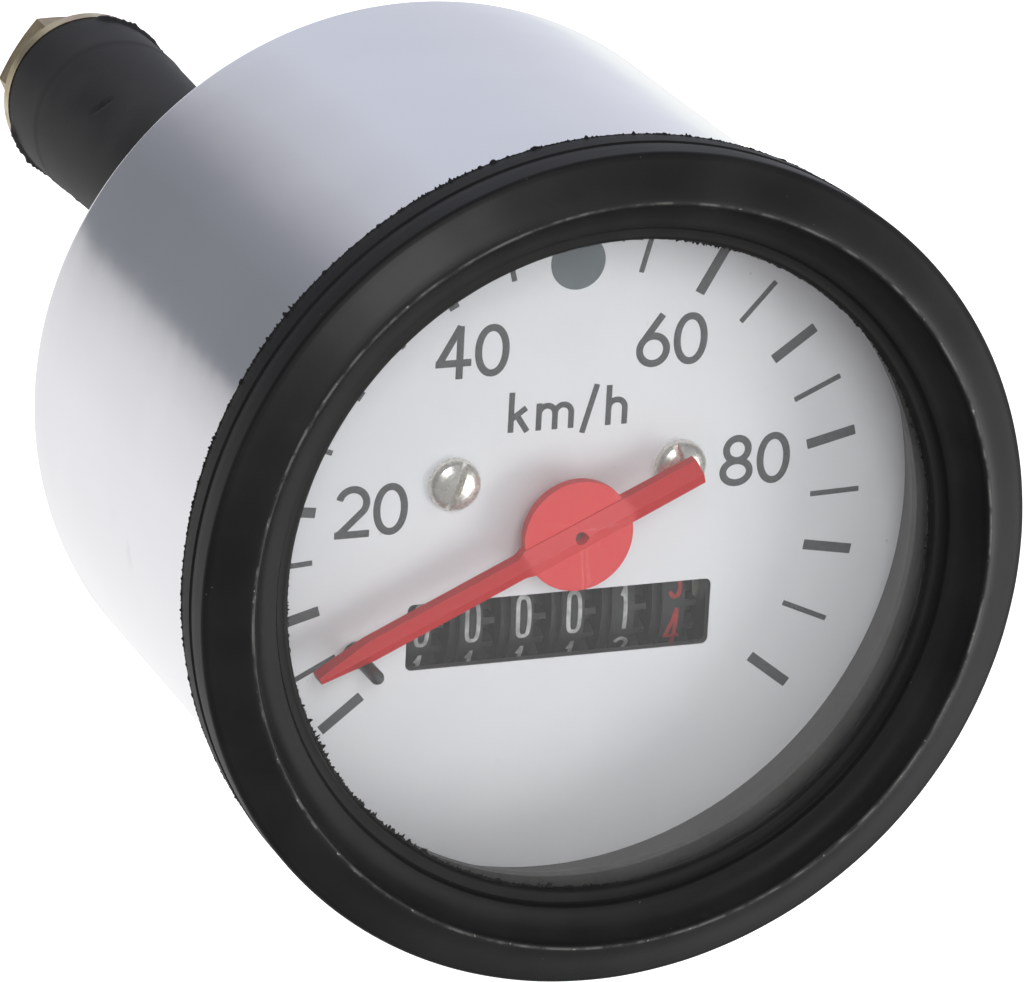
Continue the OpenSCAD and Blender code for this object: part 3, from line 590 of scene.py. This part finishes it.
def mould_flash():
    """Flash on the bezel's rear edge, most at the upper left, and on two stretches of its lip."""
    low = heights("rubber_bezel")[0]
    rim = heights("cup")[1]
    upper_left = Vector((-0.6, 0.8, 0))
    lip_way = Vector((0.72, 0.69, 0))
    outer = flash_strip(
        "rear_flash", radius_of("rubber_bezel") - 0.2 * MM, low + 0.2 * MM, 0.16 * MM, True,
        lambda way: 0.3 + 0.8 * max(0, way.dot(upper_left)),
    )
    inner = flash_strip(
        "lip_flash", LIP_R + 0.04 * MM, rim + 0.95 * MM, 0.12 * MM, False,
        lambda way: 0.1 + 2.2 * max(0, abs(way.dot(lip_way)) - 0.45),
    )
    return [outer, inner]


# Rear fittings

THREAD_STEPS = 48
THREAD_ROWS = 6  # for each turn


def screw_thread(piece, radius, low, high, pitch, depth):
    """Cuts a thread into a turned piece's rows between two heights."""
    for vertex in piece.data.vertices:
        x, y, z = vertex.co
        if math.hypot(x, y) < radius - 0.02 * MM or not low < z < high:
            continue
        turn = (z / pitch - math.atan2(y, x) / math.tau) % 1
        cut = depth * (1 - abs(2 * turn - 1))
        vertex.co.x -= x / radius * cut
        vertex.co.y -= y / radius * cut


def threaded(name, node, profile, span, radius, pitch, depth):
    """A turned piece round its node's axis, with a thread on one span of its height."""
    low, high = span
    rows = round((high - low) / pitch * THREAD_ROWS)
    thread = [(radius, high - (high - low) * i / rows) for i in range(rows + 1)]
    above, below = profile
    piece = turned(name, [*above, *thread, *below], THREAD_STEPS)
    screw_thread(piece, radius, low, high, pitch, depth)
    centred(piece, node)
    return stand(piece, "case", [node])


def cable_neck(finish):
    """Threaded neck for the cable's nut, with its flange in the cup and the bore for the drive."""
    end, base = heights("cable_neck")
    outer, seat, neck, thread, bore = 9 * MM, 5.1 * MM, 7 * MM, 6 * MM, 3.6 * MM
    floor = heights("cup_floor")[0] + SHEET
    shoulder = end + 8.5 * MM
    above = [(bore, base), (seat, base), (seat, floor + MM), (outer, floor + MM), (outer, floor)]
    above += [(neck, floor), (neck, shoulder), (thread + 0.2 * MM, shoulder)]
    below = [(thread - 0.5 * MM, end), (bore + 0.3 * MM, end), (bore, end + 0.3 * MM), (bore, base)]
    span = (end + 0.5 * MM, shoulder - 0.4 * MM)
    piece = threaded(
        "cable_neck_thread", "cable_neck", (above, below), span, thread, 1.0 * MM, 0.5 * MM
    )
    finish.on(piece)


def fixing_stud(finish):
    """The M6 stud, its thread running out past the nut."""
    end, head = heights("expander_stud")
    body, wide = 3 * MM, 4.4 * MM
    floor = heights("cup_floor")[0] + SHEET
    above = [(0.1 * MM, head), (4.1 * MM, head), (wide, head - 0.3 * MM), (wide, floor)]
    above += [(body, floor)]
    below = [(body - 0.5 * MM, end), (0.1 * MM, end)]
    span = (end + 0.5 * MM, end + 16 * MM)
    piece = threaded(
        "stud_thread", "expander_stud", (above, below), span, body, 1.0 * MM, 0.4 * MM
    )
    finish.on(piece)


SLEEVE_STEPS, SLEEVE_ROWS = 224, 96
NICK_ANGLE, NICK_HEIGHT = math.radians(134.1), -52.8 * MM
NICK_HALF, NICK_WIDTH, NICK_DEPTH = 1.35 * MM, 0.32 * MM, 0.5 * MM
SEAM_ANGLE, SEAM_WIDTH = math.radians(222), 0.06
# Where the end isn't lapped over its washer, and how far to either side of that
OPEN_ANGLE, OPEN_WIDTH, OPEN_BLEND = math.radians(141), 0.9, 0.12


def expander_sleeve(finish):
    """The rubber sleeve: a land at the washer, a waist to the cup, a seam, a nick, a torn end."""
    end, cup_back = heights("rubber_sleeve")
    radius = radius_of("rubber_sleeve")
    bore, land, step, waist = 3.1 * MM, 7 * MM, 0.06 * MM, 0.7 * MM
    wall = []
    for i in range(SLEEVE_ROWS + 1):
        z = end + 0.25 * MM + (cup_back - end - 0.3 * MM) * i / SLEEVE_ROWS
        share = limited((z - end - land) / (cup_back - end - land))
        drop = step * limited((z - end - land) / (0.4 * MM))
        drop += (waist - step) * math.sin(share * math.pi / 2)
        wall.append((radius - drop - 0.06 * MM, z))
    profile = [(bore, cup_back), (bore, end), (radius - 0.3 * MM, end), *wall]
    profile += [(wall[-1][0] - 0.1 * MM, cup_back), (bore, cup_back)]
    piece = turned("expander_sleeve", profile, SLEEVE_STEPS)
    for vertex in piece.data.vertices:
        x, y, z = vertex.co
        r = math.hypot(x, y)
        if r < radius - 1.5 * MM:
            continue
        way = Vector((x / r, y / r, 0))
        move = 0.05 * MM * noise.noise(way * 2.2 + Vector((0, 0, z * 120))) - 0.02 * MM
        if z < end + 0.6 * MM:
            lapped = limited((abs(turn_from(x, y, OPEN_ANGLE)) - OPEN_WIDTH) / OPEN_BLEND)
            move += lapped * (0.24 * MM + 0.3 * MM * abs(noise.noise(way * 40)))
        seam = abs(turn_from(x, y, SEAM_ANGLE))
        if seam < SEAM_WIDTH:
            crumbs = max(0, noise.noise(Vector((0, 0, z * 2500))) + 0.3)
            move += 0.12 * MM * crumbs * (1 - seam / SEAM_WIDTH)
        around = turn_from(x, y, NICK_ANGLE) * radius
        up = z - NICK_HEIGHT
        along, across = around * 0.94 - up * 0.34, around * 0.34 + up * 0.94
        if abs(along) < NICK_HALF:
            depth = max(0, 1 - abs(across) / NICK_WIDTH) * (1 - abs(along) / NICK_HALF)
            move -= NICK_DEPTH * depth
        vertex.co += way * move
    centred(piece, "rubber_sleeve")
    finish.on(piece)
    return stand(piece, "case", ["rubber_sleeve"])


# Dial printing

STROKE_STEPS = 28


def dense(points, closed, step=0.25 * MM):
    """The points with more set between them, so that a stroke can be laid round a drum."""
    ends = zip(points, points[1:] + points[:1]) if closed else zip(points, points[1:])
    made = []
    for (x0, y0), (x1, y1) in ends:
        parts = max(1, math.ceil(math.hypot(x1 - x0, y1 - y0) / step))
        made += [(x0 + (x1 - x0) * i / parts, y0 + (y1 - y0) * i / parts) for i in range(parts)]
    return made if closed else made + points[-1:]


def stroke(points, width, closed=False):
    """One printed stroke along points on the dial, with square ends."""
    deselect()
    points = dense(points, closed)
    curve = bpy.data.curves.new("stroke", "CURVE")
    curve.dimensions = "3D"
    curve.bevel_depth = width / 2
    curve.bevel_resolution = 2
    curve.use_fill_caps = True
    line = curve.splines.new("POLY")
    line.points.add(len(points) - 1)
    for point, (x, y) in zip(line.points, points):
        point.co = (x, y, 0, 1)
    line.use_cyclic_u = closed
    piece = bpy.data.objects.new("stroke", curve)
    bpy.context.scene.collection.objects.link(piece)
    bpy.context.view_layer.objects.active = piece
    piece.select_set(True)
    bpy.ops.object.convert(target="MESH")
    return bpy.context.object


def oval(cx, cy, half_w, half_h, start=0, end=360, power=2.3):
    """Points on a squarish oval, counterclockwise from a start to an end angle."""
    points = []
    count = max(6, round(STROKE_STEPS * abs(end - start) / 360))
    for i in range(count + 1):
        a = math.radians(start + (end - start) * i / count)
        c, s = math.cos(a), math.sin(a)
        reach = (abs(c) ** power + abs(s) ** power) ** (-1 / power)
        points.append((cx + half_w * reach * c, cy + half_h * reach * s))
    return points


def figure(sign, half_w, half_h, w, square=2.1):
    """Strokes of one figure or letter round the origin: for each, points and whether it closes."""
    r, h = half_w - w / 2, half_h - w / 2
    if sign == "0":
        return [(oval(0, 0, r, h, power=square)[:-1], True)]
    if sign == "1":
        return [
            ([(-r * 0.45, h * 0.62), (r * 0.12, h * 0.98)], False),
            ([(r * 0.15, half_h), (r * 0.15, -half_h)], False),
        ]
    if sign == "2":
        bowl = oval(0, h - r, r, r, 165, -35, 2)
        return [(bowl + [(-r * 0.98, -h)], False), ([(-half_w, -h), (half_w, -h)], False)]
    if sign == "3":
        top = oval(0, h * 0.5, r * 0.9, h * 0.5, 150, -90, 2)
        low = oval(0, -h * 0.48, r, h * 0.52, 90, -150, 2)
        return [(top, False), (low, False)]
    if sign == "4":
        return [
            ([(r * 0.42, half_h), (-r * 1.05, -h * 0.42)], False),
            ([(-half_w * 1.05, -h * 0.46), (half_w, -h * 0.46)], False),
            ([(r * 0.42, half_h), (r * 0.42, -half_h)], False),
        ]
    if sign == "5":
        return [
            ([(r * 0.9, h), (-r * 0.75, h)], False),
            ([(-r * 0.7, half_h), (-r * 0.85, h * 0.05)], False),
            (oval(0, -h * 0.38, r, h * 0.62, 140, -150, 2), False),
        ]
    if sign in "69":
        turn = 1 if sign == "6" else -1
        ring = oval(0, -(h - r) * turn, r, r, 0, 360, 2)[:-1]
        stem = [(r * 0.62 * turn, half_h * turn), (-r * 0.86 * turn, -(h - r * 1.5) * turn)]
        return [(ring, True), (stem, False)]
    if sign == "7":
        return [([(-half_w, h), (half_w, h)], False), ([(r, h), (-r * 0.35, -half_h)], False)]
    if sign == "8":
        small = r * 0.82
        tall = (2 * h - 2 * small) / 2
        return [
            (oval(0, h - small, small, small, power=2)[:-1], True),
            (oval(0, -h + tall, r, tall, power=2)[:-1], True),
        ]
    if sign == "k":
        return [
            ([(-r, half_h), (-r, -half_h)], False),
            ([(r * 0.8, h * 0.22), (-r, -h * 0.42)], False),
            ([(-r * 0.35, -h * 0.16), (r, -half_h)], False),
        ]
    if sign == "h":
        arch = oval(0, -h * 0.2, r, r, 180, 0, 2)
        return [([(-r, half_h), (-r, -half_h)], False), (arch + [(r, -half_h)], False)]
    if sign == "m":
        third = r / 2
        left = oval(-third, h - third, third, third, 180, 0, 2)
        right = oval(third, h - third, third, third, 180, 0, 2)
        return [
            ([(-r, half_h), (-r, -half_h)], False),
            (left + [(0, -half_h)], False),
            (right + [(r, -half_h)], False),
        ]
    return [([(r, half_h), (-r, -half_h)], False)]


def signs(text, cx, cy, width, height, weight, gap, square=2.1):
    """Strokes of a short text, centred on a point of the dial."""
    made = []
    step = width + gap
    start = cx - step * (len(text) - 1) / 2
    for i, sign in enumerate(text):
        for points, closed in figure(sign, width / 2, height / 2, weight, square):
            placed = [(x + start + i * step, y + cy) for x, y in points]
            made.append(stroke(placed, weight, closed))
    return made


def printed(name, pieces, thickness=0.03 * MM):
    """Presses strokes flat and sets them on the dial's face."""
    piece = joined(name, pieces)
    tall = max(v.co.z for v in piece.data.vertices)
    edit(piece)
    bpy.ops.transform.resize(value=(1, 1, thickness / tall), center_override=(0, 0, 0))
    done()
    return piece


# Angles of the marks from 0 to 100 km/h, counterclockwise from +X in degrees
TENS_ANGLES = [218.5, 195.4, 172.9, 145.8, 118.6, 90.2, 60.4, 35.7, 13.4, -9.9, -37.6]
HIDDEN_MARK = 5  # the warning light stands where the mark at 50 would be
TICK_IN, TICK_OUT = 19.68 * MM, 23.62 * MM
BOLD, THIN = 0.79 * MM, 0.41 * MM
TICK_THICK = 0.06 * MM


def tick(angle, width):
    """One mark of the scale: a block with bevelled edges, at an angle on the dial."""
    deselect()
    bpy.ops.mesh.primitive_cube_add(size=1, location=((TICK_IN + TICK_OUT) / 2, 0, 0))
    piece = bpy.context.object
    piece.scale = (TICK_OUT - TICK_IN, width, TICK_THICK)
    bpy.ops.object.transform_apply(location=True, rotation=True, scale=True)
    edit(piece)
    bpy.ops.mesh.bevel(offset=0.02 * MM, segments=2)
    done()
    piece.data.transform(Matrix.Rotation(math.radians(angle), 4, "Z"))
    return piece


def scale_marks(ink):
    """Bold marks at the tens and thin ones halfway between them."""
    made = []
    for i, angle in enumerate(TENS_ANGLES):
        if i != HIDDEN_MARK:
            made.append(tick(angle, BOLD))
        if i:
            made.append(tick((angle + TENS_ANGLES[i - 1]) / 2, THIN))
    piece = joined("scale_marks", made)
    ink.on(piece)
    return stand(piece, "case")


def dial_figures(ink):
    """The speeds 20, 40, 60 and 80."""
    size = (2.7 * MM, 4.05 * MM, 0.56 * MM, 0.25 * MM)  # width, height, weight and gap
    places = {"20": (-15.2, 2.25), "40": (-7.85, 13.9), "60": (7.75, 13.65), "80": (15.0, 3.75)}
    made = []
    for text, (x, y) in places.items():
        made += signs(text, x * MM, y * MM, *size)
    piece = printed("dial_figures", made)
    ink.on(piece)
    return stand(piece, "case")


def unit_letters(ink):
    """The unit below the top figures: k, m, a slash and h."""
    weight = 0.46 * MM
    made = signs("k", -4.0 * MM, 8.95 * MM, 1.75 * MM, 3.1 * MM, weight, 0)
    made += signs("m", -1.2 * MM, 8.45 * MM, 3.0 * MM, 2.1 * MM, weight, 0)
    made += signs("/", 1.5 * MM, 8.8 * MM, 1.5 * MM, 3.7 * MM, weight, 0)
    made += signs("h", 3.65 * MM, 8.95 * MM, 1.75 * MM, 3.1 * MM, weight, 0)
    piece = printed("unit_letters", made)
    ink.on(piece)
    return stand(piece, "case")


def telltale_disc(finish):
    """The warning light's blue-grey filter, a disc a hair proud of the dial."""
    low = heights("telltale_filter")[0]
    flange = radius_of("telltale_filter")
    radius, top, edge = 2.16 * MM, 0.02 * MM, 0.05 * MM
    profile = [(0.1 * MM, low), (flange, low), (flange, -0.8 * MM)]
    profile += [(radius, -0.5 * MM), (radius, top - edge), (radius - edge, top), (0.1 * MM, top)]
    piece = turned("telltale_disc", profile, 96)
    centred(piece, "telltale_filter")
    finish.on(piece)
    return stand(piece, "case", ["telltale_filter"])


# Odometer figures

# The drums from left to right, and the figure that each shows in the window
DRUMS = ["ten_thousands", "thousands", "hundreds", "tens", "units", "tenths"]
READING = [0, 0, 0, 0, 1, 3.5]
FIGURE_WIDTH, FIGURE_HEIGHT, FIGURE_WEIGHT = 1.24 * MM, 3.4 * MM, 0.33 * MM
FIGURE_FROM_LEFT, FIGURE_RAISED, FIGURE_SQUARE = 1.65 * MM, 0.3 * MM, 3.6


def drum_figures(index, name, finish):
    """The ten figures of one drum, drawn flat and laid round its number band."""
    low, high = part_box("drum_" + name)
    centre_x = low.x + FIGURE_FROM_LEFT
    axle = Vector((0, (low.z + high.z) / 2, DIAL_Y - (low.y + high.y) / 2))
    radius = (high.z - low.z) / 2
    made = []
    for value in range(10):
        size = (FIGURE_WIDTH, FIGURE_HEIGHT, FIGURE_WEIGHT, 0, FIGURE_SQUARE)
        flat = printed("flat", signs(str(value), 0, FIGURE_RAISED, *size), 0.02 * MM)
        turn = math.radians((value - READING[index]) * 36)
        for vertex in flat.data.vertices:
            x, y, z = vertex.co
            a = turn - y / radius
            reach = radius + z
            vertex.co = (x + centre_x, axle.y - reach * math.sin(a), axle.z + reach * math.cos(a))
        made.append(flat)
    piece = joined("figures_" + name, made)
    finish.on(piece)
    return stand(piece, name)


# Stage


CAMERA_PLACE = Vector((-173.96, -462.63, 167.33)) * MM
CAMERA_LOOK = Vector((0.3499, 0.8732, -0.3392)).normalized()
CAMERA_UP = Vector((0.0791, 0.3332, 0.9395))


def camera():
    """The photograph's viewpoint."""
    data = bpy.data.cameras.new("camera")
    data.lens = 232.63
    data.sensor_width = 36
    data.sensor_fit = "HORIZONTAL"
    data.clip_end = 20
    holder = bpy.data.objects.new("camera", data)
    bpy.context.scene.collection.objects.link(holder)
    right = CAMERA_LOOK.cross(CAMERA_UP).normalized()
    up = right.cross(CAMERA_LOOK)
    turn = Matrix((right, up, -CAMERA_LOOK)).transposed().to_4x4()
    holder.matrix_world = Matrix.Translation(CAMERA_PLACE) @ turn
    bpy.context.scene.camera = holder


# What polished plate reflects round the gauge, by the angle from +X to +Z in degrees
SURROUND = [
    (-180, (0.66, 0.66, 0.67)),
    (-168, (0.81, 0.81, 0.82)),
    (-144, (0.93, 0.93, 0.94)),
    (-84, (1, 1, 1)),
    (-30, (1, 1, 1)),
    (-12, (0.97, 1, 1)),
    (0, (0.79, 0.82, 0.89)),
    (24, (0.70, 0.72, 0.80)),
    (48, (0.667, 0.69, 0.777)),
    (84, (0.667, 0.69, 0.777)),
    (108, (0.57, 0.585, 0.635)),
    (120, (0.44, 0.44, 0.48)),
    (132, (0.28, 0.29, 0.33)),
    (144, (0.235, 0.25, 0.27)),
    (172, (0.235, 0.25, 0.27)),
    (177, (0.60, 0.60, 0.61)),
]

# Strength of the surround in front of the gauge, and along which stretch of Y it grows to full
FRONT_STRENGTH = 0.16
FRONT_FROM, FRONT_TO = -0.3, 0.25
SOFT_LIGHT = 0.7


def studio_world():
    """White to the camera and to glass, the surround to gloss, and soft light to all else."""
    world = bpy.data.worlds.new("studio")
    bpy.context.scene.world = world
    world.use_nodes = True
    tree = world.node_tree
    tree.nodes.clear()

    def node(kind, settings=(), sockets=()):
        made = tree.nodes.new(kind)
        for name, value in dict(settings).items():
            setattr(made, name, value)
        for name, value in dict(sockets).items():
            if isinstance(value, bpy.types.NodeSocket):
                tree.links.new(value, made.inputs[name])
            else:
                made.inputs[name].default_value = value
        return made

    path = node("ShaderNodeLightPath")
    way = node("ShaderNodeSeparateXYZ", {}, {0: node("ShaderNodeTexCoord").outputs["Generated"]})
    angle = node("ShaderNodeMath", {"operation": "ARCTAN2"}, {0: way.outputs[2], 1: way.outputs[0]})
    round_axis = {"Value": angle.outputs[0], "From Min": -math.pi, "From Max": math.pi}
    share = node("ShaderNodeMapRange", {}, round_axis)
    ramp = node("ShaderNodeValToRGB", {}, {0: share.outputs[0]})
    stops = ramp.color_ramp.elements
    for place, colour in SURROUND:
        if place == -180:
            stop = stops[0]
            stop.position = 0
        else:
            stop = stops.new((place + 180) / 360)
        stop.color = (*colour, 1)
    stops.remove(stops[-1])

    def light(colour, strength):
        return node("ShaderNodeBackground", {}, {"Color": colour, "Strength": strength}).outputs[0]

    def mixed(share, first, second):
        return node("ShaderNodeMixShader", {}, {0: share, 1: first, 2: second}).outputs[0]

    forwards = {"Value": way.outputs[1], "From Min": FRONT_FROM, "From Max": FRONT_TO}
    front = node("ShaderNodeMapRange", {}, {**forwards, "To Min": FRONT_STRENGTH})
    walls = light(ramp.outputs[0], front.outputs[0])
    soft = light((1, 0.99, 1, 1), SOFT_LIGHT)
    white = light((1, 1, 1, 1), 1.0)
    gloss = mixed(path.outputs["Is Glossy Ray"], soft, walls)
    rays = {0: path.outputs["Is Camera Ray"], 1: path.outputs["Is Transmission Ray"]}
    seen = node("ShaderNodeMath", {"operation": "MAXIMUM"}, rays).outputs[0]
    mix = mixed(seen, gloss, white)
    node("ShaderNodeOutputWorld", {}, {"Surface": mix})


LAMP_TARGET = Vector((0, -0.03, 0))


def lamp(name, place, size, power):
    """A round lamp at a place in metres, turned to the gauge, with its width and watts."""
    data = bpy.data.lights.new(name, "AREA")
    data.shape = "DISK"
    data.size = size
    data.energy = power
    holder = bpy.data.objects.new(name, data)
    bpy.context.scene.collection.objects.link(holder)
    turn = (LAMP_TARGET - Vector(place)).normalized().to_track_quat("-Z", "Y")
    holder.matrix_world = Matrix.Translation(Vector(place)) @ turn.to_matrix().to_4x4()


FLOOR_DROP = 40 * MM
FLOOR_GLOW = 0.7


def floor():
    """A white floor that keeps the gauge's shadow and lets the lamp below it shine through."""
    deselect()
    bpy.ops.mesh.primitive_plane_add(size=6, location=(0, 0, cad_box[0][2] - FLOOR_DROP))
    piece = named("floor")
    f = Finish("floor_white", Base_Color=(0.9, 0.9, 0.9), Roughness=0.9)
    camera_ray, glass_ray = (
        f.node("ShaderNodeLightPath", out=ray) for ray in ("Is Camera Ray", "Is Transmission Ray")
    )
    plain = Socket(f, f.shader.outputs[0])
    glow = f.node("ShaderNodeEmission", {}, {"Color": (1, 1, 1, 1), "Strength": FLOOR_GLOW})
    bright = f.node("ShaderNodeAddShader", {}, {0: plain, 1: glow})
    seen = camera_ray.math("MAXIMUM", glass_ray)
    f.show(f.node("ShaderNodeMixShader", {}, {0: seen, 1: plain, 2: bright}))
    f.on(piece)
    piece.visible_glossy = False
    piece.visible_shadow = False


def stage():
    """Camera, surround, floor and the two lamps, one above and one low at the right."""
    camera()
    studio_world()
    floor()
    lamp("key", (-0.20, -0.86, 0.42), 0.34, 3.0)
    lamp("fill", (0.74, -0.70, -0.30), 0.7, 7)


# Making


# Grain, its depth in metres and the metal share of the two nickel finishes and the nut's
BRIGHT_NICKEL = (1800, 0.000006, 1.0)
SATIN_NICKEL = (1800, 0.000006, 0.7)
NUT_ZINC = (1200, 0.00001, 0.8)


def dress_nodes(chrome):
    """Finishes every node that shows as it is, and makes the rear pieces and warning disc."""
    # Painted shade: the spacer ring gets a dark grey that stands for the shade the bezel casts on
    # its wall
    shaded_ring_grey = plain_finish("spacer_grey", (0.082, 0.080, 0.076), (0.105, 0.103, 0.098), 0.6)
    shaded_ring_grey.on("spacer_ring")
    dial_finish().on("dial_plate")
    nickel = plain_finish(
        "nickel_plate", (0.66, 0.62, 0.56), (0.78, 0.74, 0.68), 0.2, *BRIGHT_NICKEL
    )
    nickel.on("bridge_screws", "axle_clips", "ring_nut")
    satin = plain_finish(
        "screw_nickel", (0.74, 0.70, 0.65), (0.86, 0.83, 0.78), 0.25, *SATIN_NICKEL
    )
    satin.on("dial_screws")
    chrome.on("cup_floor")
    filter_blue = plain_finish("filter_blue", (0.10, 0.122, 0.135), (0.125, 0.148, 0.162), 0.4)
    telltale_disc(filter_blue)
    black = plain_finish("drum_black", (0.010, 0.010, 0.011), (0.02, 0.02, 0.021), 0.5)
    black.on("telltale_tube", *["drum_" + name for name in DRUMS])
    plain_finish("pin_dark", (0.03, 0.03, 0.032), (0.06, 0.06, 0.062), 0.4).on("stop_pin")
    pointer_finish().on("pointer")
    steel = turned_finish("turned_steel", (0.42, 0.42, 0.43), (0.52, 0.52, 0.53), 0.24)
    steel.on("pointer_spindle", "drive_spindle", "odometer_axle", "pinion_shaft", "cross_shaft")
    steel.on("lay_shaft", "flux_cup")
    aluminium = turned_finish("bright_aluminium", (0.60, 0.61, 0.62), (0.70, 0.71, 0.72), 0.3)
    aluminium.on("drag_cup", "movement_frame")
    brass = turned_finish("turned_brass", (0.58, 0.42, 0.18), (0.68, 0.52, 0.26), 0.28)
    brass.on("hairspring_collet", "hairspring_stud", "hairspring", "top_bridge", "middle_bridge")
    brass.on("magnet_hub", "neck_bush")
    plain_finish("ground_ferrite", (0.05, 0.05, 0.055), (0.09, 0.09, 0.095), 0.6).on("magnet")
    nylon = plain_finish("natural_nylon", (0.62, 0.60, 0.52), (0.70, 0.68, 0.60), 0.45)
    nylon.on("odometer_drive_gear", "cross_wheel", "lay_wheel", "thrust_washer")
    nylon.on(*["carry_pinion_%d" % i for i in range(1, 6)])
    sleeve = rubber_finish("sleeve_rubber", 0.017, 0.5, 0.2)
    sleeve.on("neck_seal")
    expander_sleeve(sleeve)
    zinc = yellow_zinc_finish()
    zinc.on("stud_washer")
    dull = plain_finish("nut_zinc", (0.24, 0.18, 0.10), (0.40, 0.32, 0.19), 0.36, *NUT_ZINC)
    dull.on("stud_nut")
    fixing_stud(zinc)
    cable_neck(turned_finish("plain_zinc", (0.46, 0.46, 0.47), (0.56, 0.56, 0.57), 0.34))
    lens_finish().on("lens")


stage()
chrome = chrome_finish()
chrome.on(cup_shell())
dress_nodes(chrome)
rubber_finish("bezel_rubber", 0.0062, 0.46, 0.22, CROWN_R).on(rubber_bezel(), *mould_flash())
ink = ink_finish()
scale_marks(ink)
dial_figures(ink)
unit_letters(ink)
# Painted shade: the white figures are dimmed overall for the drums behind the window; the two
# shades mixed by noise are wear
worn_shaded_white_figures = plain_finish("figure_white_wear_and_painted_shade", (0.24, 0.24, 0.24), (0.6, 0.6, 0.59), 0.6)
red_figures = plain_finish("figure_red", (0.20, 0.015, 0.015), (0.42, 0.025, 0.022), 0.6)
for index, name in enumerate(DRUMS):
    drum_figures(index, name, red_figures if name == "tenths" else worn_shaded_white_figures)

bpy.context.scene.view_settings.view_transform = "Standard"
